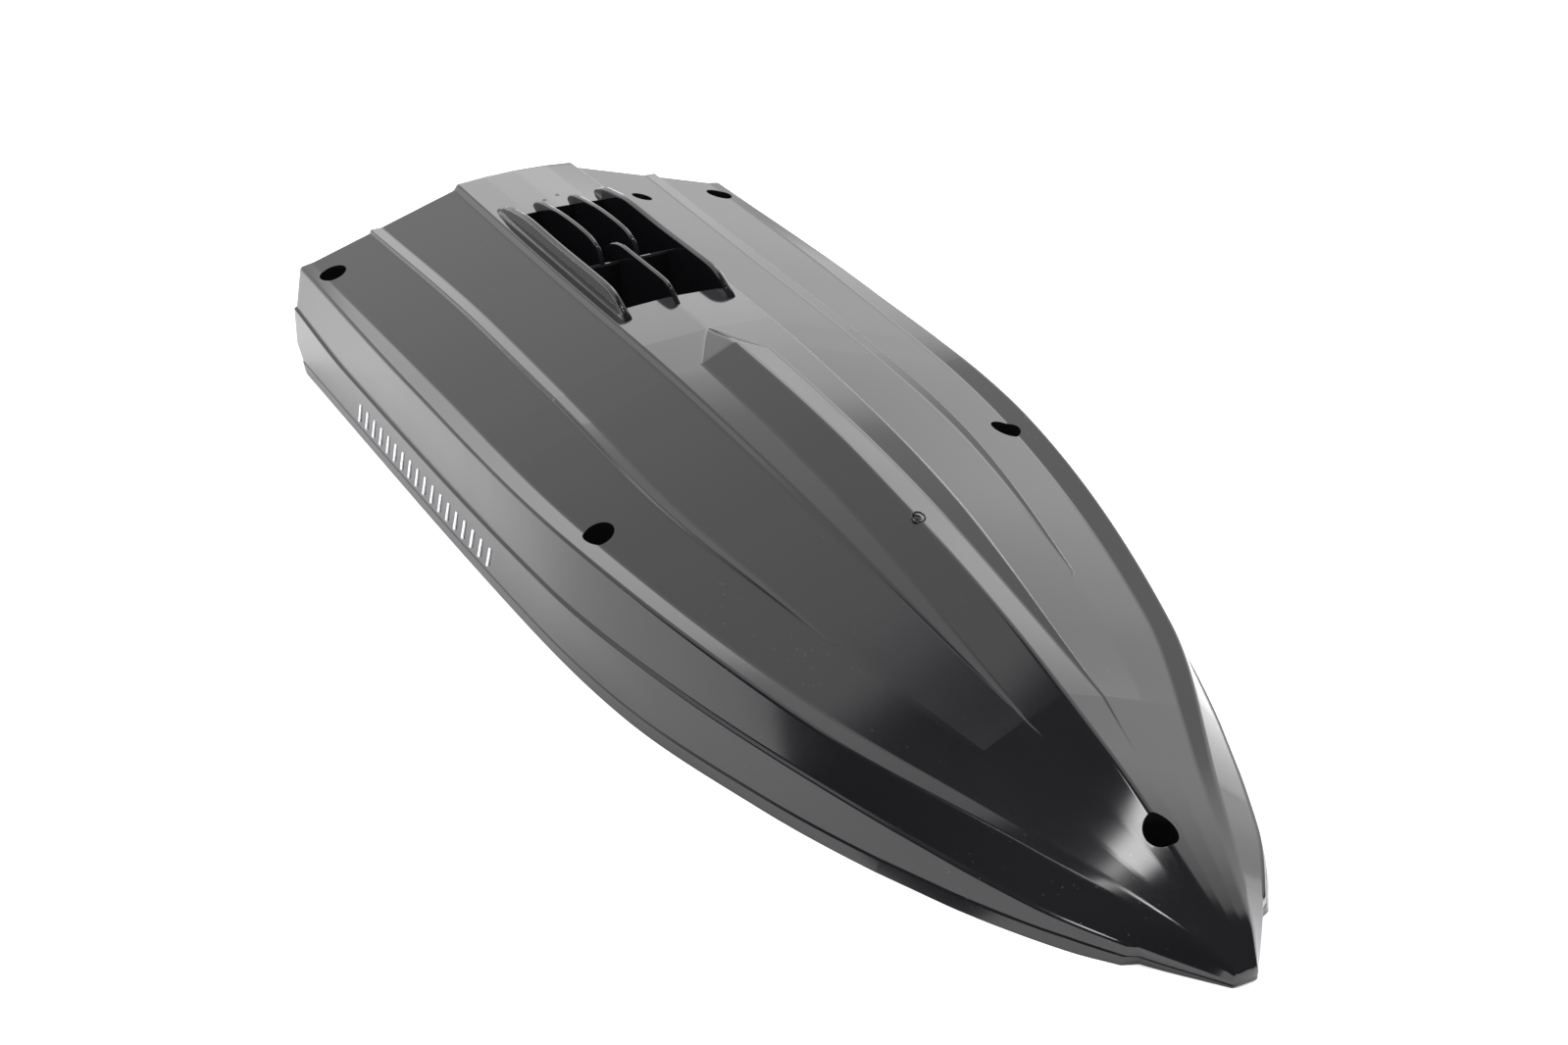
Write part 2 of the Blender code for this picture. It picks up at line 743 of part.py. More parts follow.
def flange_holes(name, start, length):
    hole = screw_radius + screw_clearance
    holes = [((start, y, z), length, hole, 'X') for y, z in flange_screw_places]
    return new_object(name, rods_mesh(name, holes, 12))


def make_pump():
    inner_face = wall + gap
    front = grille_start - 1.2 * mm
    profile = [(pump_outer, front), (pump_outer, inner_face + flange_thickness),
               (flange_radius, inner_face + flange_thickness), (flange_radius, inner_face),
               (pump_outer, inner_face), (pump_outer, 0), (pump_bore, 0), (pump_bore, front)]
    pump = turned('pump_housing', profile, satin_black, (0, 0, shaft_height), closed=True, segments=24)
    cut(pump, flange_holes('pump_flange_holes', 1 * mm, 5 * mm))


def make_stator():
    """Outlet nozzle with its straightening vanes, hub and the two pivot bosses."""
    back = -gap
    throat = outlet_radius + outlet_wall
    end = pivot_station - 1 * mm
    profile = [(flange_radius, back), (flange_radius, back - flange_thickness),
               (pump_outer - 1.2 * mm, back - flange_thickness), (throat, -6.3 * mm), (throat, end),
               (outlet_radius, end), (outlet_radius, -7.5 * mm), (pump_bore, back)]
    stator = turned('stator_nozzle', profile, satin_black, (0, 0, shaft_height), closed=True, segments=24)
    cut(stator, flange_holes('stator_flange_holes', -4 * mm, 5 * mm))
    hub = ring_profile(shaft_radius + running_gap + bush_wall + screw_clearance, stator_hub, -7.5 * mm, back)
    for index in range(stator_vanes):
        blade = box_mesh('stator_vane_tool', (5 * mm, 1 * mm, pump_bore - stator_hub + 1.2 * mm),
                         (-6 * mm, -0.5 * mm, stator_hub - 0.5 * mm))
        turn = (index * 2 * math.pi / stator_vanes + math.pi / 4, 0, 0)
        tool = new_object('stator_vane_tool', blade, place=(0, 0, shaft_height), turn=turn)
        join(stator, tool)
    join(stator, turned('stator_hub_tool', hub, place=(0, 0, shaft_height), closed=True, segments=12))
    reach = steering_bore - outlet_radius - 1.4 * mm
    root = outlet_radius + 0.6 * mm
    pivots = [((pivot_station, 0, shaft_height + foot), reach, 2 * mm, 'Z') for foot in (root, -root - reach)]
    join(stator, new_object('pivot_boss_tool', rods_mesh('pivot_boss_tool', pivots, 10)))
    screws = [((pivot_station, 0, shaft_height - steering_bore - 1 * mm), 2 * (steering_bore + 1 * mm),
               pivot_screw_radius + screw_clearance, 'Z')]
    cut(stator, new_object('pivot_hole_tool', rods_mesh('pivot_hole_tool', screws, 12)))


def blade_mesh(index):
    """One helical blade as an open sheet from the hub to the tip."""
    reach = pump_bore - impeller_clearance
    turn = index * 2 * math.pi / blade_count
    sweep = math.radians(85)
    across = 2
    along_count = 4

    def build(bm):
        rows = []
        for i in range(along_count + 1):
            share = i / along_count
            angle = turn + sweep * share
            row = []
            for j in range(across + 1):
                radius = impeller_hub * 0.8 + (reach - impeller_hub * 0.8) * j / across
                row.append(bm.verts.new((1 * mm + share * (impeller_length - 2 * mm),
                                         radius * math.cos(angle), radius * math.sin(angle))))
            rows.append(row)
        for here, there in zip(rows, rows[1:]):
            for j in range(across):
                bm.faces.new((here[j], here[j + 1], there[j + 1], there[j]))
    return mesh_from('blade_tool', build)


def make_impeller():
    bore = shaft_radius + screw_clearance
    profile = [(impeller_hub * 0.75, impeller_length), (impeller_hub, impeller_length - 1.5 * mm),
               (impeller_hub, 0), (bore, 0), (bore, impeller_length)]
    impeller = turned('impeller', profile, brass, (impeller_start, 0, 0), closed=True, segments=16,
                      parent=shaft_axis)
    for index in range(blade_count):
        blade = new_object('blade_tool', blade_mesh(index), place=(impeller_start, 0, 0), parent=shaft_axis)
        thicken = blade.modifiers.new('Solidify', 'SOLIDIFY')
        thicken.thickness = blade_thickness
        thicken.offset = 0
        join(impeller, blade)
    nut = ring_profile(bore + gap, 3 * mm, impeller_start - gap - 2.2 * mm, impeller_start - gap)
    turned('impeller_nut', nut, steel, closed=True, segments=6, parent=shaft_axis)


def make_shaft_line():
    end = coupling_middle() - 0.5 * mm
    shaft = rods_mesh('drive_shaft', [((shaft_end, 0, 0), end - shaft_end, shaft_radius, 'X')], 16)
    shade(new_object('drive_shaft', shaft, steel, parent=shaft_axis))
    bore = shaft_radius + running_gap
    tube_places = {'stator_bush': -gap - bush_length, 'shaft_bush_rear': tube_start,
                   'shaft_bush_front': tube_end - bush_length}
    for name, start in tube_places.items():
        bush = ring_profile(bore, bore + bush_wall, start, start + bush_length)
        turned(name, bush, brass, (0, 0, shaft_height), closed=True, segments=16)
    turned('shaft_tube', ring_profile(tube_inner, tube_outer, tube_start, tube_end), steel,
           (0, 0, shaft_height), closed=True, segments=20)


def coupling_middle():
    return tube_end + 2.5 * mm + coupling_length / 2


def make_coupling():
    start = tube_end + 2.5 * mm
    middle = coupling_middle()
    end = start + coupling_length
    shaft_hole = shaft_radius + screw_clearance
    motor_hole = motor_shaft_radius + screw_clearance
    chamfer = 0.8 * mm
    face = coupling_radius - 0.75 * chamfer
    profile = [(face, end), (coupling_radius, end - chamfer), (coupling_radius, start + chamfer),
               (face, start), (shaft_hole, start), (shaft_hole, middle), (motor_hole, middle),
               (motor_hole, end)]
    coupling = turned('shaft_coupling', profile, aluminium, closed=True, segments=16, parent=shaft_axis)
    thread = set_screw_radius + screw_clearance
    depth = coupling_radius - shaft_hole - 2 * gap
    screw_stations = {'coupling_screw_rear': start + set_screw_inset, 'coupling_screw_front': end - set_screw_inset}
    for name, place in screw_stations.items():
        hole = rods_mesh('set_screw_hole', [((place, 0, 0), coupling_radius + 1 * mm, thread, 'Z')], 10)
        cut(coupling, new_object('set_screw_hole', hole, parent=shaft_axis))
        set_screw = rods_mesh(name, [((place, 0, shaft_hole + gap), depth, set_screw_radius, 'Z')], 10)
        new_object(name, set_screw, steel, parent=shaft_axis)


# Motor

def make_motor():
    end = motor_start + motor_length
    bore = motor_shaft_radius + screw_clearance
    boss = motor_start - mount_thickness
    profile = [(0, end), (motor_radius, end), (motor_radius, motor_start + 1 * mm),
               (motor_radius - 0.9 * mm, motor_start), (motor_boss_radius, motor_start), (motor_boss_radius, boss),
               (bore, boss), (bore, end - 2 * mm), (0, end - 2 * mm)]
    can = turned('motor_can', profile, steel, (0, 0, shaft_height), segments=24)
    thread = screw_radius + screw_clearance
    holes = [((motor_start - 1 * mm, side * motor_screw_offset, shaft_height), 6 * mm, thread, 'X')
             for side in (1, -1)]
    cut(can, new_object('motor_thread_tool', rods_mesh('motor_thread_tool', holes, 12)))
    bell_start = end + gap
    bell_end = bell_start + bell_length
    rim = motor_radius - 0.6 * mm
    bell = [(0, bell_end + 1.3 * mm), (3.4 * mm, bell_end + 1.3 * mm), (3.4 * mm, bell_end),
            (rim - 0.6 * mm, bell_end), (rim, bell_end - 0.8 * mm), (rim, bell_start), (0, bell_start)]
    turned('motor_endbell', bell, satin_black, (0, 0, shaft_height), segments=20)
    for name, side in (('motor_terminal_port', 1), ('motor_terminal_starboard', -1)):
        length, width, thickness = terminal_size
        corner = (bell_end + gap, side * terminal_offset - width / 2, shaft_height - thickness / 2)
        new_object(name, box_mesh(name, (length, width, thickness), corner), brass)
    start = coupling_middle() + 0.5 * mm
    spindle = rods_mesh('motor_shaft', [((start, 0, 0), end - 2.5 * mm - start, motor_shaft_radius, 'X')], 12)
    shade(new_object('motor_shaft', spindle, steel, parent=shaft_axis))


def jacket_start():
    return motor_start + (motor_length - jacket_length) / 2


def make_jacket():
    start = jacket_start()
    inner = motor_radius + gap
    outer = inner + jacket_wall
    jacket = turned('motor_water_jacket', ring_profile(inner, outer, start, start + jacket_length), aluminium,
                    (0, 0, shaft_height), closed=True, segments=24)
    nipples = [((x, outer - nipple_root, shaft_height), nipple_length, barb_radius, 'Y')
               for x in jacket_nipples()]
    join(jacket, new_object('jacket_nipple_tool', rods_mesh('jacket_nipple_tool', nipples, 12)))


def jacket_nipples():
    return (jacket_start() + 4 * mm, jacket_start() + jacket_length - 4 * mm)


def make_motor_mount():
    top = mount_foot_height + mount_thickness
    bottom = shaft_height - mount_half + 1 * mm
    upright = box_mesh('motor_mount', (mount_thickness, 2 * mount_half, top - bottom),
                       (mount_face, -mount_half, bottom))
    mount = new_object('motor_mount', upright, aluminium)
    foot = box_mesh('mount_foot_tool', (mount_foot, 2 * mount_half, mount_thickness),
                    (mount_face - mount_foot + mount_thickness, -mount_half, mount_foot_height))
    join(mount, new_object('mount_foot_tool', foot))
    hole = screw_radius + screw_clearance
    through = mount_thickness + 2 * mm
    behind = mount_face - 1 * mm
    holes = [((x, y, mount_foot_height - 1 * mm), through, hole, 'Z') for x, y in mount_screw_places]
    holes += [((behind, side * motor_screw_offset, shaft_height), through, hole, 'X') for side in (1, -1)]
    holes.append(((behind, 0, shaft_height), through, motor_boss_radius + gap, 'X'))
    cut(mount, new_object('mount_hole_tool', rods_mesh('mount_hole_tool', holes, 16)))


# Screws

def screw(name, place, axis, length, material=None, radius=screw_radius, head=head_radius, parent=None):
    """A pan-head screw with its head under the place and its shank running along the axis, +1 or -1."""
    direction = -1 if axis.startswith('-') else 1
    crown = head * 0.75
    profile = [(0, length), (radius, length), (radius, 0), (head, 0), (crown, -head_height), (0, -head_height)]
    thing = turned(name, profile, material or steel, place, axis[-1], segments=10, parent=parent)
    if direction < 0:
        flip = Matrix.Rotation(math.pi, 4, 'Y' if axis[-1] != 'Y' else 'X')
        thing.rotation_euler = (along(axis[-1]) @ flip).to_euler()
    return thing


def make_screws():
    reach = panel_height(*duct_screw_places[0]) - 3.5 * mm - duct_ear_height
    for side, (x, y) in zip(('port', 'starboard'), duct_screw_places):
        screw('duct_screw_' + side, (x, y, duct_ear_height - gap), 'Z', reach)
    for index, (y, z) in enumerate(flange_screw_places, 1):
        screw('pump_screw_%d' % index, (-2 * gap - flange_thickness, y, z), 'X', 7.5 * mm)
    for side, (x, y) in zip(('port', 'starboard'), mount_screw_places):
        screw('mount_screw_' + side, (x, y, mount_foot_height - gap), 'Z', 8 * mm)
    for side, sign in (('port', 1), ('starboard', -1)):
        screw('motor_screw_' + side, (mount_face - gap, sign * motor_screw_offset, shaft_height), 'X', 5 * mm)
    for end, (x, y) in zip(('rear', 'front'), servo_screw_places()):
        screw('servo_screw_' + end, (x, y, servo_ear_height - gap), 'Z', 7 * mm)


# Steering

def make_steering_nozzle():
    """Outer nozzle that swings about its two pivot screws, with the arm on its lower ear."""
    outer = steering_bore + steering_wall
    start = -1 * mm
    end = -steering_length
    profile = [(outer, start), (outer * 0.84, end), (steering_bore * 0.82, end), (steering_bore, start)]
    nozzle = turned('steering_nozzle', profile, satin_black, closed=True, segments=24, parent=steering_axis)
    ear = [(-4 * mm, -3.2 * mm), (0, -3.2 * mm)]
    ear += [(3.2 * mm * math.cos(a), 3.2 * mm * math.sin(a)) for a in (-math.pi / 4, 0, math.pi / 4)]
    ear += [(0, 3.2 * mm), (-4 * mm, 3.2 * mm)]
    middle = steering_bore + arm_thickness / 2
    lower_plates = (('lower_ear_tool', ear, -middle), ('nozzle_arm_tool', arm_outline(3 * mm), -middle))
    for name, outline, height in (('upper_ear_tool', ear, middle), *lower_plates):
        tool = plate(name, outline, arm_thickness, place=(0, 0, height), lies='XY', parent=steering_axis)
        join(nozzle, tool)
    reach = 2 * (steering_bore + arm_thickness + 1 * mm)
    holes = [((0, 0, -reach / 2), reach, pivot_screw_radius + 2 * screw_clearance, 'Z'),
             ((0, -steering_arm, -middle - 2 * mm), 4 * mm, rod_radius + screw_clearance, 'Z')]
    cut(nozzle, new_object('nozzle_hole_tool', rods_mesh('nozzle_hole_tool', holes, 12), parent=steering_axis))
    for name, side, axis in (('nozzle_pivot_upper', 1, '-Z'), ('nozzle_pivot_lower', -1, 'Z')):
        height = shaft_height + side * (steering_bore + arm_thickness + gap)
        screw(name, (pivot_station, 0, height), axis, 3.6 * mm, radius=pivot_screw_radius, head=pivot_head_radius)


def arm_outline(root_radius):
    """Plan of a lever from its pivot out to its pin, on the starboard side."""
    end_radius = arm_width / 2
    outline = [(root_radius, 0)]
    for step in range(5):
        angle = -step / 4 * math.pi
        outline.append((end_radius * math.cos(angle), -steering_arm + end_radius * math.sin(angle)))
    outline.append((-root_radius, 0))
    return outline


def make_servo():
    length, width, height = servo_size
    start = servo_axis[0] - servo_axis_inset
    side = servo_axis[1] - width / 2
    case = new_object('servo_case', box_mesh('servo_case', servo_size, (start, side, servo_base)), blue)
    round_edges(case, 0.6 * mm)
    ears = box_mesh('servo_ear_tool', (length + 11 * mm, width - 1.6 * mm, servo_ear_thickness),
                    (start - 5.5 * mm, side + 0.8 * mm, servo_ear_height))
    join(case, new_object('servo_ear_tool', ears))
    hump = [((*servo_axis, servo_base - servo_hump), servo_hump + 1 * mm, 5.5 * mm, 'Z')]
    join(case, new_object('servo_hump_tool', rods_mesh('servo_hump_tool', hump, 20)))
    spline_end = horn_height + spline_overlap
    spline = [((*servo_axis, spline_end), servo_base - spline_end, spline_radius, 'Z')]
    join(case, new_object('servo_spline_tool', rods_mesh('servo_spline_tool', spline, 12)))
    holes = [((x, y, servo_ear_height - 1 * mm), 4 * mm, screw_radius + screw_clearance, 'Z')
             for x, y in servo_screw_places()]
    holes.append(((*servo_axis, horn_height), 5 * mm, pivot_screw_radius + screw_clearance, 'Z'))
    cut(case, new_object('servo_hole_tool', rods_mesh('servo_hole_tool', holes, 12)))


def make_horn():
    hub_radius = 3.2 * mm
    middle = horn_height + arm_thickness / 2
    horn = plate('servo_horn', arm_outline(hub_radius), arm_thickness, ivory, place=(0, 0, middle), lies='XY',
                 parent=horn_axis)
    hub = [((0, 0, horn_height), servo_base - servo_hump - gap - horn_height, hub_radius, 'Z')]
    join(horn, new_object('horn_hub_tool', rods_mesh('horn_hub_tool', hub, 16), parent=horn_axis))
    spline_end = horn_height + spline_overlap
    spline = [((0, 0, spline_end - gap), 5 * mm, spline_radius + screw_clearance, 'Z')]
    cut(horn, new_object('horn_spline_tool', rods_mesh('horn_spline_tool', spline, 12), parent=horn_axis))
    holes = [((0, 0, horn_height - 1 * mm), 3 * mm, pivot_screw_radius + screw_clearance, 'Z'),
             ((0, -steering_arm, horn_height - 1 * mm), 4 * mm, rod_radius + screw_clearance, 'Z')]
    cut(horn, new_object('horn_hole_tool', rods_mesh('horn_hole_tool', holes, 12), parent=horn_axis))
    screw('servo_horn_screw', (0, 0, horn_height - gap), 'Z', 3.4 * mm, radius=pivot_screw_radius,
          head=pivot_head_radius, parent=horn_axis)


def make_pushrod():
    """Wire rod, cranked sideways between the nozzle's arm and the servo's, with both ends turned up."""
    nozzle_pin = (pivot_station, -steering_arm)
    horn_pin = (servo_axis[0], servo_axis[1] - steering_arm)
    arm_top = shaft_height - steering_bore + 1 * mm
    horn_top = horn_height + arm_thickness + 1 * mm
    corner = 1 * mm
    run = [(nozzle_pin[0] + corner, nozzle_pin[1]), (9 * mm, nozzle_pin[1]), (13 * mm, nozzle_pin[1] - 0.9 * mm),
           (horn_pin[0] - 9 * mm, horn_pin[1] + 4.7 * mm), (horn_pin[0] - 5 * mm, horn_pin[1] + 1.2 * mm),
           (horn_pin[0] - corner, horn_pin[1])]
    route = [(*nozzle_pin, arm_top), (*nozzle_pin, rod_height + corner)]
    route += [(x, y, rod_height) for x, y in run]
    route += [(*horn_pin, rod_height + corner), (*horn_pin, horn_top)]
    from_axis = [(x - horn_pin[0], y - horn_pin[1], z) for x, y, z in route]
    shade(tube('pushrod', from_axis, rod_radius, steel, steps=0, parent=rod_axis))


def make_gaiter():
    neck_end = wall + gap
    lip = gland_neck + 0.7 * mm
    profile = [(lip - 0.4 * mm, neck_end + 1 * mm), (lip, neck_end), (gland_neck, neck_end), (gland_neck, -gap),
               (lip, -gap), (lip, -1.1 * mm), (gland_neck, -1.6 * mm), (gland_neck + 0.8 * mm, -2.2 * mm),
               (gland_bore + 0.3 * mm, -3 * mm), (gland_bore, -3 * mm), (gland_bore, neck_end + 1 * mm)]
    turned('pushrod_gaiter', profile, rubber, (0, *gland_place), closed=True, segments=14)


# Battery, electronics and cooling

def stadium(radius, spread, height, steps=8):
    """Outline of two round cells side by side, in breadth and height."""
    outline = []
    for side, start in ((1, -math.pi / 2), (-1, math.pi / 2)):
        for step in range(steps + 1):
            angle = start + step / steps * math.pi
            outline.append((side * spread + radius * math.cos(angle), height + radius * math.sin(angle)))
    return outline


def make_battery():
    middle = battery_start + battery_length / 2
    centre = battery_base + cell_radius
    pack = stadium(cell_radius, cell_radius, centre)
    battery = plate('battery_pack', pack, battery_length, wrap_blue, place=(middle, 0, 0), lies='YZ')
    shade(battery)
    tray_base = battery_base + 2 * cell_radius + gap
    tray_top = tray_base + tray_thickness
    tray_start = battery_start + 4 * mm
    tray_length = battery_length - 14 * mm
    tray = new_object('battery_tray', box_mesh('battery_tray', (tray_length, 2 * cell_radius, tray_thickness),
                                               (tray_start, -cell_radius, tray_base)), satin_black)
    legs = []
    for x in (tray_start + 6 * mm, tray_start + tray_length - 8 * mm):
        for side in (1, -1):
            foot = tray_base + 0.4 * mm
            roof = inside_height(x + 2 * mm, 6 * mm) - gap
            legs.append(((x, side * 6 * mm, foot), roof - foot, 2 * mm, 'Z'))
    join(tray, new_object('tray_leg_tool', rods_mesh('tray_leg_tool', legs, 12)))
    strap = strap_loop(tray_top)
    plate('battery_strap', strap, strap_width, webbing, place=(middle, 0, 0), lies='YZ')


def strap_loop(tray_top):
    """Inner and outer outlines of the strap round the cells and their tray."""
    loops = []
    for offset in (gap, gap + strap_thickness):
        radius = cell_radius + offset
        centre = battery_base + cell_radius
        side = [(cell_radius + radius * math.cos(a), centre + radius * math.sin(a))
                for a in [math.radians(-90 + 15 * step) for step in range(10)]]
        side.append((cell_radius + offset, tray_top + offset))
        loops.append(side + [(-y, z) for y, z in reversed(side)])
    return loops[::-1]


def make_electronics():
    box = new_object('receiver_box', box_mesh('receiver_box', box_size, box_corner), satin_black)
    round_edges(box, 1.0 * mm, 2)
    x, y, z = box_corner
    start = x + 5 * mm
    length = box_size[0] - 10 * mm
    low = z + box_size[2] + gap
    near, far = y + 6 * mm, y + box_size[1] - 6 * mm
    ends = (start, start + length)
    near_roof, far_roof = [min(inside_height(station, breadth) for station in ends) - gap for breadth in (near, far)]
    outline = [(near, low), (far, low), (far, far_roof), (near, near_roof)]
    plate('receiver_foam', outline, length, foam, place=(start + length / 2, 0, 0), lies='YZ')
    socket_size = (5 * mm, 8 * mm, 5 * mm)
    corner = (x + box_size[0] + gap, y + 10 * mm, z + 3 * mm)
    new_object('controller_socket', box_mesh('controller_socket', socket_size, corner), ivory)
    plug_size = (7 * mm, 6.6 * mm, 4.4 * mm)
    plug_corner = (corner[0] + socket_size[0] + gap, corner[1] + 0.7 * mm, corner[2] + 0.3 * mm)
    new_object('battery_plug', box_mesh('battery_plug', plug_size, plug_corner), red)
    make_leads(plug_corner, plug_size)


def make_leads(plug, plug_size):
    """Wires held at both ends: battery to plug, motor to controller and servo to receiver."""
    start = (plug[0] + plug_size[0] + gap, plug[1] + plug_size[1] / 2)
    corner = (battery_start, -2 * cell_radius)
    plan = [start, (start[0] + 2.3 * mm, start[1] + 1 * mm), (start[0] + 2.5 * mm, start[1] + 5 * mm),
            (corner[0] - 1.4 * mm, corner[1] - 3 * mm), (corner[0] - 2.6 * mm, corner[1] + 2 * mm),
            (corner[0] - 2.1 * mm, corner[1] + 6 * mm), (corner[0] - 2 * gap, corner[1] + 7 * mm)]
    middle = plug[2] + plug_size[2] / 2
    heights = {'battery_lead_red': (red, middle + 1.1 * mm), 'battery_lead_black': (rubber, middle - 1.1 * mm)}
    for name, (colour, height) in heights.items():
        tube(name, [(x, y, height) for x, y in plan], lead_radius, colour, steps=2)
    motor_end = motor_start + motor_length + bell_length + terminal_size[0] + 4 * gap
    box_end = box_corner[0] + box_size[0] + gap
    for name, colour, side in (('motor_lead_red', red, 1), ('motor_lead_black', rubber, -1)):
        offset = side * terminal_offset
        high = shaft_height + (4 * mm if side > 0 else 0)
        beside = box_corner[1] + 23.5 * mm + side * 1.2 * mm
        low = 13 * mm + side * 1 * mm
        points = [(motor_end, offset, shaft_height),
                  (motor_end + 1.8 * mm, offset - 0.4 * mm, shaft_height + side * 0.2 * mm),
                  (motor_end + 1.6 * mm, offset - 2.4 * mm, high), (motor_end + 0.5 * mm, -13 * mm, high),
                  (motor_end - 4 * mm, -20 * mm, 16 * mm + side * 1.5 * mm),
                  (box_end + 2 * mm, beside + 0.5 * mm, low), (box_end, beside, low)]
        tube(name, points, lead_radius, colour, steps=2)
    case_end = servo_axis[0] - servo_axis_inset + servo_size[0] + gap
    entry = box_corner[1] + box_size[1] / 2
    points = [(case_end, servo_axis[1] + 2 * mm, 13.6 * mm), (case_end + 7 * mm, servo_axis[1] + 1 * mm, 12.6 * mm),
              (case_end + 20 * mm, servo_axis[1] - 6 * mm, 11 * mm), (box_corner[0] - 6 * mm, entry, 11 * mm),
              (box_corner[0] - gap, entry, 11 * mm)]
    tube('servo_lead', points, 1.1 * mm, ivory, steps=2)


def make_cooling():
    """Pick-up in the bottom, two hoses by way of the motor's jacket, and the outlet in the transom."""
    x, y = inlet_place
    roof = panel_height(x, y)
    boss_foot = roof - 6 * mm
    stem = inlet_hole - gap
    barb_end = boss_foot - 9 * mm
    mouth = roof - 2.2 * mm
    profile = [(stem, mouth), (stem, boss_foot - gap), (inlet_boss, boss_foot - gap),
               (inlet_boss, boss_foot - 1.5 * mm), (barb_radius, boss_foot - 1.5 * mm), (barb_radius, barb_end),
               (water_bore, barb_end), (water_bore, mouth)]
    turned('water_inlet', profile, brass, (x, y, 0), 'Z', closed=True, segments=12)
    oy, oz = outlet_place
    stem = outlet_stem
    flange = stem + 1.6 * mm
    nut = flange - 0.6 * mm
    inner_end = 10 * mm
    outer_end = -5 * mm
    profile = [(barb_radius, inner_end), (barb_radius, wall + 2 * mm), (nut, wall + 2 * mm), (nut, wall + gap),
               (stem, wall + gap), (stem, -gap), (flange, -gap), (flange, -1.3 * mm), (barb_radius, -1.8 * mm),
               (barb_radius, outer_end), (water_bore, outer_end), (water_bore, inner_end)]
    turned('water_outlet', profile, brass, (0, oy, oz), closed=True, segments=12)
    nipple = motor_radius + gap + jacket_wall - nipple_root + nipple_length + gap
    first, second = jacket_nipples()
    height = shaft_height
    inlet = [(x, y, barb_end - gap), (x + 1 * mm, y + 1 * mm, barb_end - 5 * mm), (x + 9 * mm, y + 4 * mm, 10 * mm),
             (60 * mm, 31 * mm, 9 * mm), (90 * mm, 30 * mm, 11 * mm),
             (first - 6 * mm, nipple + 9 * mm, height - 2 * mm), (first, nipple + 4 * mm, height),
             (first, nipple, height)]
    tube('inlet_hose', inlet, hose_radius, silicone, steps=2)
    outlet = [(second, nipple, height), (second, nipple + 2 * mm, height), (second, nipple + 6 * mm, height),
              (second - 8 * mm, nipple + 14 * mm, height - 4 * mm), (90 * mm, 42 * mm, 9 * mm),
              (50 * mm, 43 * mm, 9 * mm), (24 * mm, oy + 3 * mm, oz - 2 * mm), (15 * mm, oy, oz),
              (inner_end + gap, oy, oz)]
    tube('outlet_hose', outlet, hose_radius, silicone, steps=2)


clear_scene()
parts = new_collection('jet_boat_hull')
cutters = new_collection('cutters')
gloss_black = plastic('gloss_black', (0.012, 0.012, 0.013), 0.12)
satin_black = plastic('satin_black', (0.02, 0.02, 0.022), 0.4)
rubber = plastic('rubber', (0.015, 0.015, 0.015), 0.7)
steel = plastic('steel', (0.55, 0.56, 0.58), 0.28, 1.0)
aluminium = plastic('aluminium', (0.7, 0.71, 0.73), 0.32, 1.0)
brass = plastic('brass', (0.72, 0.53, 0.22), 0.3, 1.0)
blue = plastic('servo_blue', (0.02, 0.09, 0.32), 0.35)
wrap_blue = plastic('battery_wrap', (0.03, 0.16, 0.42), 0.3)
ivory = plastic('ivory_nylon', (0.82, 0.8, 0.72), 0.45)
red = plastic('red_pvc', (0.5, 0.02, 0.015), 0.4)
foam = plastic('foam', (0.03, 0.03, 0.03), 0.9)
webbing = plastic('webbing', (0.02, 0.02, 0.02), 0.85)
silicone = plastic('silicone_hose', (0.75, 0.75, 0.72), 0.35)

datum = new_empty('transom_datum', (-half_span, 0, 0))
shaft_axis = new_empty('shaft_axis', (0, 0, shaft_height), datum)
steering_axis = new_empty('steering_axis', (pivot_station, 0, shaft_height), datum)
horn_axis = new_empty('horn_axis', (*servo_axis, 0), datum)
rod_axis = new_empty('rod_axis', (servo_axis[0], servo_axis[1] - steering_arm, 0), datum)

make_hull()
make_duct()
make_pump()
make_stator()
make_impeller()
make_shaft_line()
make_coupling()
make_motor()
make_jacket()
make_motor_mount()
make_screws()
make_steering_nozzle()
make_servo()
make_horn()
make_pushrod()
make_gaiter()
make_battery()
make_electronics()
make_cooling()
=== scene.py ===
import json
import math
import bmesh
import bpy
from mathutils import Matrix, Vector


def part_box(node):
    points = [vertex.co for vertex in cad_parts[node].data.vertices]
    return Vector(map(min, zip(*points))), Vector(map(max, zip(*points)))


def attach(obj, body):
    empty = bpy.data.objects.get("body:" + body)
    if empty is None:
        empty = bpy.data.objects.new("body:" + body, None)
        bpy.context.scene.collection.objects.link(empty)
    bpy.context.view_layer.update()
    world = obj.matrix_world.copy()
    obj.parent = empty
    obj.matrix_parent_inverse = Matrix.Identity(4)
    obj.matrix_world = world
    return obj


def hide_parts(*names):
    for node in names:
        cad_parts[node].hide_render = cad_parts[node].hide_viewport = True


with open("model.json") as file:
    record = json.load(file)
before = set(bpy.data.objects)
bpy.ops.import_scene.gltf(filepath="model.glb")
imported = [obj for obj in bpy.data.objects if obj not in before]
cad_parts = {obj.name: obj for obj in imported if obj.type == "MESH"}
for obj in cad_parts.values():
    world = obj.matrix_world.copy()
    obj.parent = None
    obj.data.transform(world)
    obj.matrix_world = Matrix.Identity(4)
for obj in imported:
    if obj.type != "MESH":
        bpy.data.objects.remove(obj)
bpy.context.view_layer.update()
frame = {"nodes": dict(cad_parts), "record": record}
scene = bpy.context.scene
mm = 0.001
print("frame loaded:", len(frame["nodes"]), "nodes")

hullLow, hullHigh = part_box("hull_shell")
transom = hullLow.x    # hull stations are counted from here
length = hullHigh.x - hullLow.x


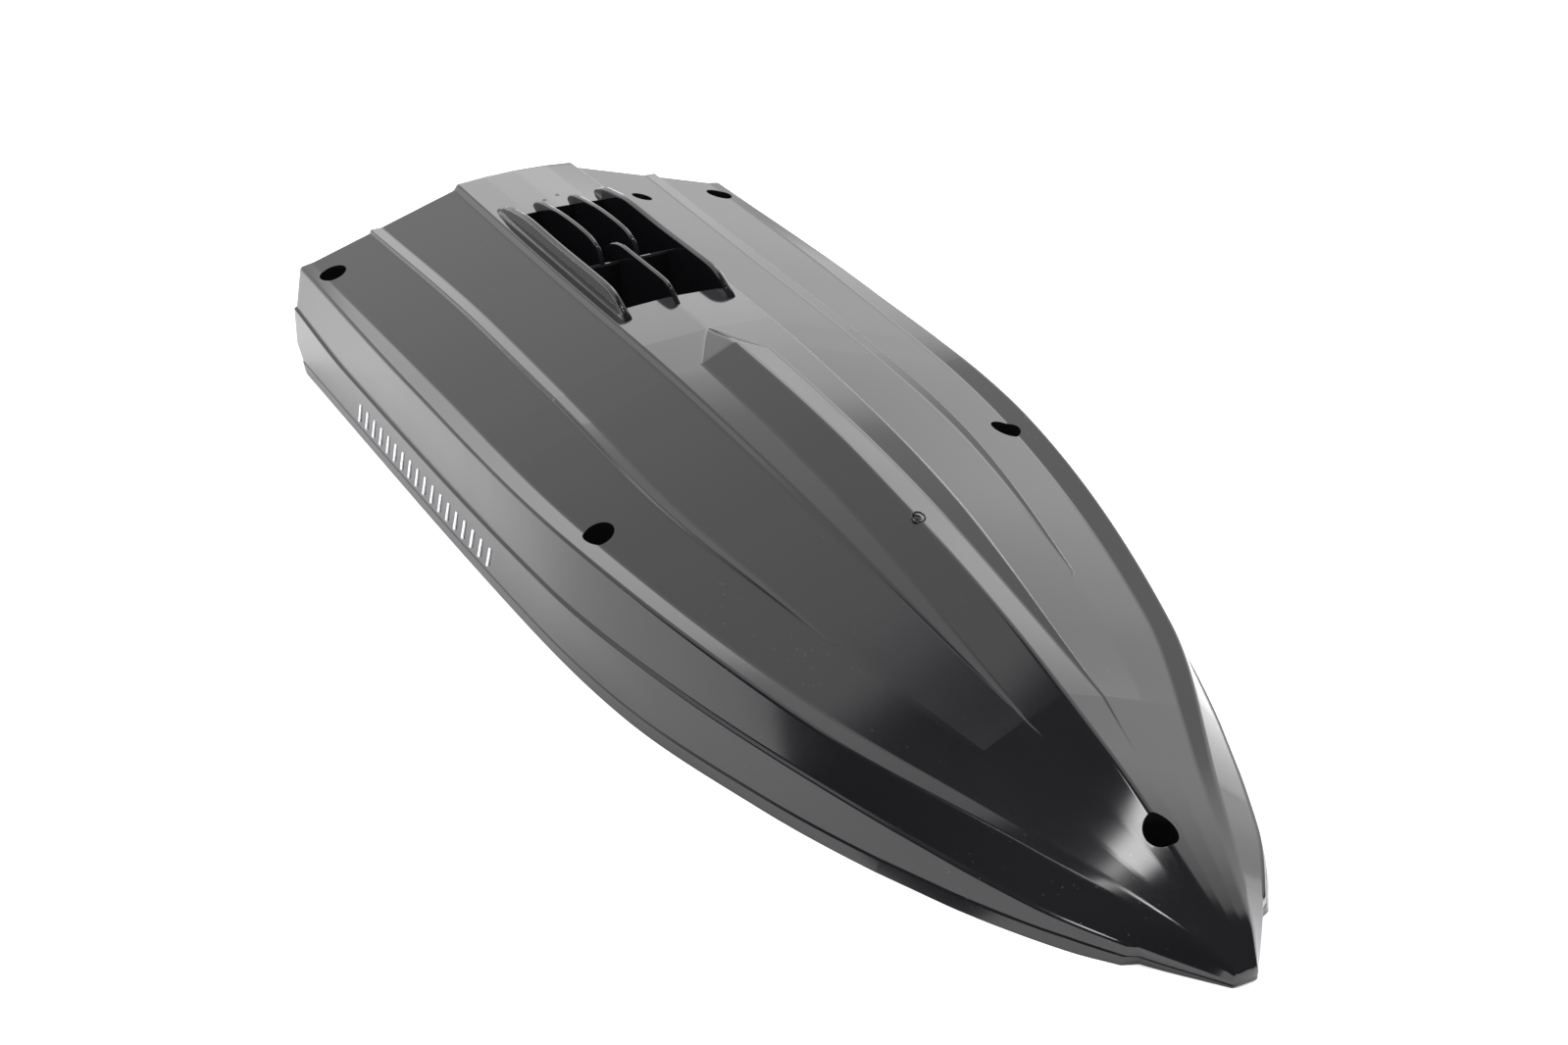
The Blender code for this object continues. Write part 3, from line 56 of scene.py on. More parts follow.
class Paint:
    # A material with its node tree at hand, in object space so that a grain keeps its size.
    def __init__(self, name, colour, roughness=0.4, metallic=0.0, **more):
        self.material = bpy.data.materials.new(name)
        self.material.use_nodes = True
        self.nodes = self.material.node_tree.nodes
        self.links = self.material.node_tree.links
        self.shader = self.nodes["Principled BSDF"]
        self.shader.inputs["Base Color"].default_value = (*colour, 1)
        self.shader.inputs["Roughness"].default_value = roughness
        self.shader.inputs["Metallic"].default_value = metallic
        for socket, value in more.items():
            self.shader.inputs[socket.replace("_", " ")].default_value = value
        self.place = self.nodes.new("ShaderNodeTexCoord").outputs["Object"]

    def stretched(self, scale):
        mapping = self.nodes.new("ShaderNodeMapping")
        mapping.inputs["Scale"].default_value = scale
        self.links.new(self.place, mapping.inputs["Vector"])
        return mapping.outputs["Vector"]

    def noise(self, scale, detail=3, stretch=None):
        node = self.nodes.new("ShaderNodeTexNoise")
        node.inputs["Scale"].default_value = scale
        node.inputs["Detail"].default_value = detail
        self.links.new(self.stretched(stretch) if stretch else self.place, node.inputs["Vector"])
        return node.outputs["Fac"]

    def cells(self, scale):
        node = self.nodes.new("ShaderNodeTexVoronoi")
        node.inputs["Scale"].default_value = scale
        self.links.new(self.place, node.inputs["Vector"])
        return node.outputs["Distance"]

    def waves(self, scale, distortion=0.0, direction="X"):
        node = self.nodes.new("ShaderNodeTexWave")
        node.bands_direction = direction
        node.inputs["Scale"].default_value = scale
        node.inputs["Distortion"].default_value = distortion
        self.links.new(self.place, node.inputs["Vector"])
        return node.outputs["Fac"]

    def ranged(self, value, low, high, toLow, toHigh):
        node = self.nodes.new("ShaderNodeMapRange")
        node.interpolation_type = "SMOOTHSTEP"
        self.links.new(value, node.inputs["Value"])
        for socket, number in zip(("From Min", "From Max", "To Min", "To Max"), (low, high, toLow, toHigh)):
            node.inputs[socket].default_value = number
        return node.outputs["Result"]

    def maths(self, kind, first, second):
        node = self.nodes.new("ShaderNodeMath")
        node.operation = kind
        for socket, value in zip(node.inputs, (first, second)):
            if isinstance(value, (int, float)):
                socket.default_value = value
            else:
                self.links.new(value, socket)
        return node.outputs["Value"]

    def mixed(self, share, first, second):
        node = self.nodes.new("ShaderNodeMix")
        node.data_type = "RGBA"
        colours = [socket for socket in node.inputs if socket.type == "RGBA"]
        self.links.new(share, node.inputs["Factor"])
        for socket, colour in zip(colours, (first, second)):
            if isinstance(colour, tuple):
                socket.default_value = (*colour, 1)
            else:
                self.links.new(colour, socket)
        return next(socket for socket in node.outputs if socket.type == "RGBA")

    def colour(self, socket):
        self.links.new(socket, self.shader.inputs["Base Color"])

    def rough(self, socket):
        self.links.new(socket, self.shader.inputs["Roughness"])

    def bump(self, height, strength, distance):
        node = self.nodes.new("ShaderNodeBump")
        node.inputs["Strength"].default_value = strength
        node.inputs["Distance"].default_value = distance
        self.links.new(height, node.inputs["Height"])
        self.links.new(node.outputs["Normal"], self.shader.inputs["Normal"])


glossBlack = {"colour": (0.006, 0.006, 0.007), "dust": (0.42, 0.42, 0.44), "roughness": (0.06, 0.13),
              "dustSize": 900, "dustShare": 0.035, "waviness": 0.02 * mm}


def makeGlossBlack():
    # Polished moulding: a faint flow in the surface, handling haze and a sprinkle of dust.
    paint = Paint("glossBlack", glossBlack["colour"], 0.1, IOR=1.5)
    specks = paint.cells(glossBlack["dustSize"])
    patches = paint.noise(22, 2)
    size = paint.ranged(patches, 0.35, 0.7, 0.0, glossBlack["dustShare"])
    dust = paint.maths("LESS_THAN", specks, size)
    paint.colour(paint.mixed(dust, glossBlack["colour"], glossBlack["dust"]))
    haze = paint.noise(38, 4, (0.3, 1, 1))
    low, high = glossBlack["roughness"]
    hazy = paint.ranged(haze, 0.3, 0.75, low, high)
    paint.rough(paint.maths("ADD", hazy, paint.maths("MULTIPLY", dust, 0.6)))
    flow = paint.noise(45, 2, (0.4, 1, 1))
    paint.bump(flow, 0.5, glossBlack["waviness"])
    return paint.material


def makeSatinPlastic(name, colour, lighter, roughness=0.42):
    # Spark-eroded mould texture with rubbed, slightly shinier high spots.
    paint = Paint(name, colour, roughness)
    grain = paint.noise(2600, 3)
    rubbed = paint.noise(60, 4)
    paint.colour(paint.mixed(paint.ranged(rubbed, 0.45, 0.8, 0, 1), colour, lighter))
    paint.rough(paint.ranged(rubbed, 0.3, 0.8, roughness + 0.08, roughness - 0.1))
    paint.bump(grain, 0.35, 0.03 * mm)
    return paint.material


def makeMetal(name, colour, darker, roughness, lineScale, stretch):
    # Turned or drawn metal: fine lines along the tool's path and a few dull patches.
    paint = Paint(name, colour, roughness, 1.0)
    lines = paint.noise(lineScale, 4, stretch)
    stains = paint.noise(90, 4)
    paint.colour(paint.mixed(paint.ranged(stains, 0.4, 0.75, 0, 1), colour, darker))
    paint.rough(paint.ranged(lines, 0.25, 0.75, roughness - 0.08, roughness + 0.14))
    paint.bump(lines, 0.25, 0.012 * mm)
    return paint.material


def makeRubber(name, colour, worn):
    paint = Paint(name, colour, 0.62)
    bloom = paint.noise(120, 5)
    paint.colour(paint.mixed(paint.ranged(bloom, 0.45, 0.8, 0, 1), colour, worn))
    paint.rough(paint.ranged(bloom, 0.3, 0.7, 0.5, 0.75))
    paint.bump(paint.noise(1500, 2), 0.3, 0.02 * mm)
    return paint.material


def makeFoam():
    # Open cells about half a millimetre wide; the hollows of the cells are painted darker as painted shade
    # and their walls lighter.
    paint = Paint("foam", (0.035, 0.035, 0.037), 0.95)
    cells = paint.cells(1900)
    # painted shade: darkest in the middle of each cell, lighter towards its walls, following the same cells
    # as the bump
    paintedPitShade = paint.ranged(cells, 0.0, 0.55, 0, 1)
    paint.colour(paint.mixed(paintedPitShade, (0.012, 0.012, 0.013), (0.075, 0.075, 0.08)))
    paint.bump(cells, 0.9, 0.25 * mm)
    return paint.material


def makeWebbing():
    # Woven ribs across the strap with a crossing warp; the colour follows the weave's relief, with painted
    # shade between the threads and a painted highlight where they cross.
    paint = Paint("webbing", (0.02, 0.02, 0.022), 0.85, Sheen_Weight=0.4, Sheen_Roughness=0.4)
    weft = paint.waves(330, 0.3, "X")
    warp = paint.waves(260, 0.3, "Y")
    weaveReliefAndShade = paint.maths("MULTIPLY", weft, warp)
    # painted shade and highlight: darker in the gaps of the weave, lighter where the threads cross
    paint.colour(paint.mixed(weaveReliefAndShade, (0.008, 0.008, 0.009), (0.06, 0.06, 0.065)))
    paint.bump(weaveReliefAndShade, 0.8, 0.12 * mm)
    return paint.material


def makeHose():
    # Milky silicone with light passing into the wall and water marks.
    paint = Paint("siliconeHose", (0.62, 0.66, 0.66), 0.28, Subsurface_Weight=0.3, Subsurface_Scale=1.5 * mm)
    marks = paint.noise(150, 4)
    paint.colour(paint.mixed(paint.ranged(marks, 0.4, 0.8, 0, 1), (0.66, 0.7, 0.69), (0.47, 0.5, 0.5)))
    paint.rough(paint.ranged(marks, 0.3, 0.7, 0.2, 0.42))
    return paint.material


def makeWrap():
    # Shrink film over the cells: tight ripples and a shine; the ripple crests are painted lighter and the
    # troughs darker, as painted sheen and shade.
    paint = Paint("batteryWrap", (0.03, 0.16, 0.42), 0.22, Coat_Weight=0.5, Coat_Roughness=0.1)
    ripplesAndSheen = paint.noise(160, 3, (0.35, 1, 1))
    # painted sheen and shade: lighter blue on the ripple crests, darker in the troughs
    paint.colour(paint.mixed(paint.ranged(ripplesAndSheen, 0.35, 0.75, 0, 1), (0.02, 0.12, 0.36), (0.05, 0.22, 0.5)))
    paint.rough(paint.ranged(ripplesAndSheen, 0.3, 0.7, 0.16, 0.34))
    paint.bump(ripplesAndSheen, 0.5, 0.12 * mm)
    return paint.material


def makePrintWhite():
    paint = Paint("printWhite", (0.75, 0.76, 0.78), 0.35)
    thin = paint.noise(1400, 4)
    paint.colour(paint.mixed(paint.ranged(thin, 0.3, 0.55, 0, 1), (0.5, 0.51, 0.54), (0.82, 0.83, 0.85)))
    return paint.material


materials = {
    "gloss_black": makeGlossBlack(),
    "satin_black": makeSatinPlastic("satinBlack", (0.012, 0.012, 0.013), (0.03, 0.03, 0.032)),
    "rubber": makeRubber("softRubber", (0.012, 0.012, 0.012), (0.035, 0.034, 0.032)),
    "steel": makeMetal("platedSteel", (0.62, 0.63, 0.65), (0.42, 0.42, 0.43), 0.26, 700, (0.15, 1, 1)),
    "aluminium": makeMetal("machinedAluminium", (0.76, 0.77, 0.79), (0.58, 0.59, 0.61), 0.32, 900,
                           (1, 0.2, 0.2)),
    "brass": makeMetal("turnedBrass", (0.75, 0.55, 0.24), (0.45, 0.3, 0.12), 0.28, 800, (1, 0.2, 0.2)),
    "servo_blue": makeSatinPlastic("servoBlue", (0.02, 0.08, 0.3), (0.04, 0.14, 0.42), 0.28),
    "battery_wrap": makeWrap(),
    "ivory_nylon": makeSatinPlastic("ivoryNylon", (0.74, 0.71, 0.62), (0.84, 0.82, 0.75), 0.45),
    "red_pvc": makeSatinPlastic("redPvc", (0.42, 0.015, 0.012), (0.6, 0.04, 0.03), 0.36),
    "foam": makeFoam(),
    "webbing": makeWebbing(),
    "silicone_hose": makeHose(),
    "print_white": makePrintWhite(),
}
print("materials made:", len(materials))


def newPiece(name, build, slot):
    mesh = bpy.data.meshes.new(name)
    bm = bmesh.new()
    build(bm)
    bmesh.ops.recalc_face_normals(bm, faces=bm.faces)
    bm.to_mesh(mesh)
    bm.free()
    piece = bpy.data.objects.new(name, mesh)
    mesh.materials.append(materials[slot])
    scene.collection.objects.link(piece)
    return piece


def addPiece(piece, body, slot, *nodes):
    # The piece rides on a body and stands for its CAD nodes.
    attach(piece, body)
    if nodes:
        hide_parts(*nodes)
    return piece


def smoothOver(piece, degrees=32):
    piece.data.shade_smooth()
    piece.data.set_sharp_from_angle(angle=math.radians(degrees))
    return piece


def flatFacets(piece):
    # Large faces keep their own direction, so that only the small rounds between them blend.
    weighted = piece.modifiers.new("facets", "WEIGHTED_NORMAL")
    weighted.mode = "FACE_AREA"
    weighted.weight = 60
    weighted.keep_sharp = True
    return piece


def combine(target, tool, operation):
    change = target.modifiers.new(operation, "BOOLEAN")
    change.operation = operation
    change.solver = "EXACT"
    change.object = tool
    bpy.context.view_layer.objects.active = target
    bpy.ops.object.modifier_apply(modifier=change.name)
    bpy.data.objects.remove(tool, do_unlink=True)


def loft(bm, rows, capped=True, closedRows=False):
    rings = [[bm.verts.new(point) for point in row] for row in rows]
    pairs = list(zip(rings, rings[1:]))
    if closedRows:
        pairs.append((rings[-1], rings[0]))
    count = len(rings[0])
    for here, there in pairs:
        for i in range(count):
            j = (i + 1) % count
            bm.faces.new((here[i], here[j], there[j], there[i]))
    if capped and not closedRows:
        bm.faces.new(rings[0])
        bm.faces.new(rings[-1])


def turnedRows(profile, centre, axis, segments):
    # Rows of a turned shape: the profile holds (radius, distance along the axis).
    direction = Vector(axis).normalized()
    side = direction.orthogonal().normalized()
    other = direction.cross(side)
    rows = []
    for step in range(segments):
        angle = step / segments * 2 * math.pi
        out = side * math.cos(angle) + other * math.sin(angle)
        rows.append([Vector(centre) + direction * along + out * radius for radius, along in profile])
    return rows


def turned(name, profile, centre, axis, slot, segments=48):
    # A ring profile, closed on itself, swept round the axis.
    rows = turnedRows(profile, centre, axis, segments)
    return newPiece(name, lambda bm: loft(bm, rows, closedRows=True), slot)


def solidTurned(bm, profile, centre, axis, segments=32):
    rows = turnedRows(profile, centre, axis, segments)
    columns = [[row[i] for row in rows] for i in range(len(profile))]
    loft(bm, columns)


def softened(points, radius, steps=3):
    # Each corner of a closed profile gets a small arc.
    count = len(points)
    made = []
    for i, point in enumerate(points):
        here = Vector(point)
        before = Vector(points[i - 1]) - here
        after = Vector(points[(i + 1) % count]) - here
        reach = min(radius, before.length * 0.45, after.length * 0.45)
        start = here + before.normalized() * reach
        end = here + after.normalized() * reach
        for step in range(steps + 1):
            t = step / steps
            made.append(tuple(start * (1 - t) ** 2 + here * 2 * t * (1 - t) + end * t * t))
    return made


def smoothLine(points, steps=8):
    knots = [Vector(p) for p in points]
    knots = [2 * knots[0] - knots[1]] + knots + [2 * knots[-1] - knots[-2]]
    made = []
    for a, b, c, d in zip(knots, knots[1:], knots[2:], knots[3:]):
        for step in range(steps):
            t = step / steps
            made.append(0.5 * (2 * b + (c - a) * t + (2 * a - 5 * b + 4 * c - d) * t * t
                               + (3 * b - a - 3 * c + d) * t ** 3))
    return made + [knots[-2]]


# Lines as (station share, share of half the beam, share of the depth), stations counted from the transom.
hull = {
    "beam": 118.4 * mm, "depth": 38 * mm, "wall": 1.8 * mm,
    "padStep": 1.4 * mm, "padBevel": 0.9 * mm, "padCrown": 0.8 * mm, "padEnd": 0.813,
    "wedgeTip": 0.348, "wedgeShoulder": 0.392, "wedgeHalf": 8 * mm,
    "strakeTip": 0.693, "strakeWidth": 2.8 * mm, "bandEnd": 0.953, "bandStep": 0.004, "bandLedge": 0.7 * mm,
    "lipHeight": 2.4 * mm, "lipStep": 0.25 * mm,
    "cavityEnd": 0.94, "cornerHeight": 6.6 * mm, "cornerLength": 7.5 * mm, "cornerWidth": 12 * mm,
    "stations": 150,
}
padLine = ((0, 0.256, 1.0), (0.2, 0.267, 1.008), (0.41, 0.258, 0.997), (0.61, 0.226, 0.879),
           (0.813, 0.14, 0.589))
keelLine = ((0.392, 0, 1.1), (0.47, 0, 1.082), (0.54, 0, 1.047), (0.61, 0, 0.982), (0.68, 0, 0.905),
            (0.75, 0, 0.8), (0.806, 0, 0.687), (0.88, 0, 0.512), (0.96, 0, 0.242), (1.0, 0, 0.08))
strakeLine = ((0, 0.642, 0), (0.173, 0.617, 0), (0.347, 0.613, 0), (0.52, 0.593, 0), (0.693, 0.451, 0))
chineLine = ((0, 0.895, 0.665), (0.25, 0.885, 0.668), (0.49, 0.836, 0.616), (0.73, 0.596, 0.471),
             (0.87, 0.3, 0.33), (0.97, 0.1, 0.19), (1.0, 0.03, 0.072))
edgeLine = ((0, 0.95, 0.65), (0.247, 0.965, 0.663), (0.495, 0.922, 0.639), (0.742, 0.654, 0.468),
            (0.88, 0.333, 0.3), (0.97, 0.122, 0.165), (1.0, 0.038, 0.065))
sideLine = ((0, 0.98, 0.39), (0.12, 0.983, 0.33), (0.487, 0.961, 0.326), (0.63, 0.855, 0.297),
            (0.77, 0.664, 0.25), (0.903, 0.394, 0.153), (0.957, 0.218, 0.1), (1.0, 0.04, 0.035))
rimLine = ((0, 1.0, 0), (0.435, 1.0, 0), (0.6, 0.951, 0), (0.728, 0.799, 0), (0.806, 0.667, 0),
           (0.872, 0.522, 0), (0.928, 0.36, 0), (0.955, 0.253, 0))


def fair(line, station):
    # Half-breadth and height of a hull line, on one smooth curve through its points.
    station = min(max(station, line[0][0]), line[-1][0])
    right = next(i for i in range(1, len(line)) if station <= line[i][0])
    left = right - 1
    span = line[right][0] - line[left][0]
    t = (station - line[left][0]) / span

    def slope(i, value):
        before, after = max(i - 1, 0), min(i + 1, len(line) - 1)
        return (line[after][value] - line[before][value]) / (line[after][0] - line[before][0]) * span

    found = []
    for value, size in ((1, hull["beam"] / 2), (2, hull["depth"])):
        low, high = line[left][value], line[right][value]
        share = (low * (2 * t ** 3 - 3 * t * t + 1) + high * (3 * t * t - 2 * t ** 3)
                 + slope(left, value) * (t ** 3 - 2 * t * t + t) + slope(right, value) * (t ** 3 - t * t))
        found.append(share * size)
    return found


def between(low, high, share):
    return [a + (b - a) * share for a, b in zip(low, high)]


def padFoot(s):
    fade = min(1, (hull["padEnd"] - s) / 0.25)
    breadth, height = fair(padLine, s)
    return [breadth + hull["padBevel"] * max(fade, 0.2), height - hull["padStep"] * fade]


def bottomCorners(s):
    # Half section from the centre line to the chine: wedge or pad, panel and strake.
    chine = fair(chineLine, s)
    if s > hull["padEnd"]:
        centre = [0, fair(keelLine, s)[1]]
        shares = (0.3, 0.315, 0.33, 0.66, 0.68, 0.7)
        return [centre] + [between(centre, chine, share) for share in shares] + [chine]
    pad, foot = fair(padLine, s), padFoot(s)
    crown = hull["padCrown"]
    centre = [0, pad[1] + crown if s <= hull["wedgeTip"] else fair(keelLine, s)[1]]
    share = hull["wedgeHalf"] / pad[0]
    if s <= hull["wedgeTip"]:
        base = [hull["wedgeHalf"], between(centre, pad, share)[1] + 0.25 * crown * (1 - s / hull["wedgeTip"])]
    else:
        base = [hull["wedgeHalf"], pad[1] + crown * (1 - share) * (1 - s / hull["padEnd"])]
    if s >= hull["strakeTip"]:
        strake = [between(foot, chine, share) for share in (0.5, 0.52, 0.54)]
    else:
        edge = fair(strakeLine, s)[0]
        width = max(hull["strakeWidth"] * (1 - (s / hull["strakeTip"]) ** 5), 0.3 * mm)
        inner = between(foot, chine, (edge - width - foot[0]) / (chine[0] - foot[0]))
        outer = between(foot, chine, (edge + 0.3 * mm - foot[0]) / (chine[0] - foot[0]))
        strake = [inner, [edge, inner[1]], outer]
    return [centre, base, pad, foot] + strake + [chine]


def sideCorners(s):
    edge, crease = fair(edgeLine, s), fair(sideLine, s)
    ledge = hull["bandLedge"]
    if s <= hull["bandEnd"]:
        band = [crease[0] + ledge, crease[1] - 0.3 * ledge]
        rim = [fair(rimLine, s)[0], 0]
    else:
        band, rim = [crease[0], crease[1] * 0.9], [crease[0] * 0.97, 0]
    lip = between(rim, band, min(0.5, hull["lipHeight"] / max(band[1], 1e-6)))
    step = min(hull["lipStep"], 0.1 * rim[0])
    return [edge, crease, band, [lip[0] - step, lip[1]], [lip[0], lip[1] - 0.2 * mm], rim]


def corners(s):
    # Between the stations where the section changes its kind, it changes evenly.
    for low, high in ((hull["wedgeTip"], hull["wedgeShoulder"]), (hull["padEnd"], 0.86),
                      (hull["bandEnd"], hull["bandEnd"] + hull["bandStep"])):
        if low < s < high:
            share = (s - low) / (high - low)
            return [between(a, b, share) for a, b in zip(corners(low), corners(high + 1e-6))]
    made = bottomCorners(s) + sideCorners(s)
    if abs(s - hull["wedgeTip"]) < 1e-9:
        made[1] = between(made[0], made[2], 0.3 * mm / made[2][0])    # the wedge starts from a point
    return made


cornerRadii = (0.8, 0.6, 0.45, 0.5, 0.5, 0.2, 0.3, 0.6, 0.7, 0.35, 0.4, 0.2, 0.2, 0.2)
cornerSteps = 4
noseStation = 0.9985    # where the nose starts to close


def sectionPoints(s, inset=0.0):
    points = [Vector(p) for p in corners(s)]
    last = len(points) - 1
    made = []
    for i, here in enumerate(points):
        before = points[i - 1] if i else Vector((-points[1].x, points[1].y))
        after = points[i + 1] if i < last else here + Vector((-1 * mm, 0))
        reach = min(cornerRadii[i] * mm, (before - here).length * 0.45, (after - here).length * 0.45)
        start = here + (before - here).normalized() * reach
        end = here + (after - here).normalized() * reach
        for step in range(cornerSteps + 1):
            t = step / cornerSteps
            if i == 0 and t < 0.5:
                continue
            made.append(start * (1 - t) ** 2 + here * 2 * t * (1 - t) + end * t * t)
    if inset:
        middle = Vector((0, 0.35 * hull["depth"]))
        made = [p - (p - middle).normalized() * inset for p in made]
    made[0] = Vector((0, made[0].y))
    return made


def hullRing(s, inset=0.0):
    half = sectionPoints(s, inset)
    x = transom + s * length
    port = [Vector((x, p.x, max(p.y, 0))) for p in half]
    starboard = [Vector((x, -p.x, max(p.y, 0))) for p in half[:0:-1]]
    return starboard + port


def stationShares():
    count = hull["stations"]
    shares = [i / count for i in range(1, count)]
    tip, end = hull["wedgeTip"], hull["bandEnd"]
    shares += [tip, tip + 0.001, hull["wedgeShoulder"], hull["strakeTip"], hull["padEnd"], 0.86, end,
               end + hull["bandStep"], 0.995, noseStation]
    near = {round(s, 4) for s in shares if not any(0 < abs(s - t) < 0.0012 for t in (tip, end))}
    near |= {tip, tip + 0.001, end, end + 0.25 * hull["bandStep"], end + 0.75 * hull["bandStep"]}
    return sorted(near)


def noseRings():
    # The last few rings close in on a blunt, round nose.
    rings = []
    start = hullRing(noseStation)
    middle = Vector((transom + noseStation * length, 0, 1.6 * mm))
    for step in range(1, 6):
        angle = step / 5 * math.pi / 2 * 0.97
        rings.append([middle + Vector(((1 - noseStation) * length * math.sin(angle), 0, 0))
                      + Vector((0, (p - middle).y, (p - middle).z)) * math.cos(angle) for p in start])
    return rings


def cavityRing(s):
    wall = hull["wall"]
    chine, edge, crease, rim = fair(chineLine, s), fair(edgeLine, s), fair(sideLine, s), fair(rimLine, s)[0]
    thick = 1.05 * wall
    if s <= hull["padEnd"]:
        foot = padFoot(s)
        top = [foot[0] - hull["padBevel"] - 2 * wall, fair(padLine, s)[1] - wall - 0.4 * hull["padCrown"]]
        middle = [0, top[1]]
        shoulder = [foot[0], foot[1] - thick]
    else:
        middle = [0, fair(keelLine, s)[1] - 1.3 * wall]
        roof = [chine[0], chine[1] - 1.3 * wall]
        top, shoulder = between(middle, roof, 0.3), between(middle, roof, 0.33)
    half = [middle, top, shoulder, [chine[0] - 0.3 * wall, chine[1] - thick],
            [edge[0] - 1.3 * wall, edge[1] - 1.3 * wall], [crease[0] - wall, crease[1]],
            [rim - wall, 0], [rim - wall, -5 * mm]]
    x = transom + s * length
    return [Vector((x, -y, z)) for y, z in half[:0:-1]] + [Vector((x, y, z)) for y, z in half]


def bottomHeight(x, y):
    # Height of the hull's outside at a station and breadth, both in metres from the transom and centre line.
    points = bottomCorners(x / length)
    for inner, outer in zip(points, points[1:]):
        if inner[0] <= abs(y) <= outer[0]:
            return between(inner, outer, (abs(y) - inner[0]) / max(outer[0] - inner[0], 1e-9))[1]
    return points[-1][1]


pillars = {"places": ((9.7 * mm, 51.3 * mm), (149.9 * mm, 47.5 * mm), (274 * mm, 0)), "radius": 4.6 * mm,
           "bore": 3.2 * mm, "pilot": 1.6 * mm, "foot": 6 * mm, "floor": 2 * mm}
posts = {"duct": ("duct_screw_port", "duct_screw_starboard", 2.8 * mm),
         "mount": ("mount_screw_port", "mount_screw_starboard", 3 * mm),
         "servo": ("servo_screw_rear", "servo_screw_front", 2.4 * mm)}


def pillarCentres():
    centres = []
    for x, y in pillars["places"]:
        centres += [(x, y), (x, -y)] if y else [(x, 0)]
    return centres


def screwHead(node):
    # Centre of an upright screw's head, in plan, and the height of the head's seat.
    low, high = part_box(node)
    return (low.x + high.x) / 2, (low.y + high.y) / 2, low.z + 1.5 * mm


def rodTool(name, rods, segments=32):
    def build(bm):
        for start, end, radius, farRadius in rods:
            profile = [(radius, 0), (farRadius, (Vector(end) - Vector(start)).length)]
            solidTurned(bm, profile, start, Vector(end) - Vector(start), segments)
    return newPiece(name, build, "gloss_black")


def upright(x, y, low, high, radius, farRadius=None):
    return ((x, y, low), (x, y, high), radius, farRadius or radius)


def makeBosses():
    high = hull["depth"] + 10 * mm
    rods = [upright(transom + x, y, pillars["foot"], high, pillars["radius"]) for x, y in pillarCentres()]
    heights = {"duct": 2 * mm, "mount": 2 * mm, "servo": 1.2 * mm}
    for kind, plateThickness in heights.items():
        for node in posts[kind][:2]:
            x, y, seat = screwHead(node)
            rods.append(upright(x, y, seat + plateThickness + 0.6 * mm, high, posts[kind][2]))
    low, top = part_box("water_inlet")
    x, y = (low.x + top.x) / 2, (low.y + top.y) / 2
    rods.append(upright(x, y, bottomHeight(x - transom, y) - 6 * mm, high, 4.2 * mm))
    return rodTool("bossTool", rods)


grille = {
    "start": 27 * mm, "length": 59 * mm, "crossbar": 60.6 * mm, "depth": 13 * mm, "knee": 70 * mm,
    "railOffset": 12.57 * mm, "railThickness": 1.8 * mm, "vaneOffset": 4.45 * mm, "vaneThickness": 1.2 * mm,
    "railFoot": 1.5 * mm, "vaneFoot": 0.9 * mm,
    "railCrest": ((20.6, 38.2), (22.4, 39.6), (24.8, 40.7), (27.3, 41.4), (31.5, 42.1), (39.1, 42.9),
                  (55.8, 42.8), (71.2, 43.0), (80.9, 43.0), (85.3, 42.3), (88.8, 40.8), (91.0, 39.3),
                  (91.9, 38.2)),
    "vaneCrest": ((22.6, 38.3), (24.3, 40.2), (28.7, 41.4), (38.2, 42.6), (46.7, 43.0), (53.3, 42.9),
                  (57.3, 42.2), (59.5, 40.9), (60.7, 38.6), (61.1, 36)),
    "frontCrest": ((50.0, 33.6), (50.9, 35.6), (53, 38.2), (56.5, 40.9), (61.4, 42.5), (68.4, 42.7),
                   (75.4, 42.8), (84.5, 42.7), (88.1, 41.3), (90.2, 39.4), (91, 38.1)),
}


def grilleFoot(x):
    end = grille["start"] + grille["length"]
    rise = max(0, (x - grille["knee"]) / (end - grille["knee"]))
    return hull["depth"] - grille["depth"] + 0.3 * mm + rise * (grille["depth"] - hull["wall"] - 1.2 * mm)


def bladePiece(name, crest, offset, thickness, footHalf, flareSides=(1, -1)):
    # A rail or vane: rounded crest, straight blade, and a flared foot where it meets the pad.
    line = smoothLine([(x * mm, z * mm, 0) for x, z in crest], 5)
    start, end = grille["start"] - 0.5 * mm, grille["start"] + grille["length"] + 0.5 * mm
    skin = hull["depth"]
    half = thickness / 2
    rows = []
    for point in line:
        x, top = point.x, point.y
        inSlot = start < x < end
        foot = grilleFoot(x) if inSlot else skin - 1 * mm
        foot = min(foot, top - 0.6 * mm)
        sides = {}
        for side in (1, -1):
            flare = footHalf - half if side in flareSides or not inSlot else 0
            flare *= max(0, min(1, (top - skin) / (2.5 * mm)))
            low = min(skin, top - 0.4 * mm)
            middle = min(skin + 1.3 * mm, top - 0.3 * mm)
            cap = min(half, (top - middle) * 0.8)
            column = [(half, foot),
                      (half + flare * (0 if inSlot else 1), min(foot + 0.5 * mm, low - 0.05 * mm)),
                      (half + flare, low), (half + 0.35 * flare, low + 0.45 * (middle - low)), (half, middle),
                      (half, top - cap)]
            column += [(half * math.cos(a), top - cap + cap * math.sin(a)) for a in (0.5, 1.0)]
            sides[side] = [(offset + side * y, z) for y, z in column]
        section = sides[1] + [(offset, top)] + sides[-1][::-1]
        rows.append([Vector((transom + x, y, z)) for y, z in section])
    return newPiece(name, lambda bm: loft(bm, rows), "gloss_black")


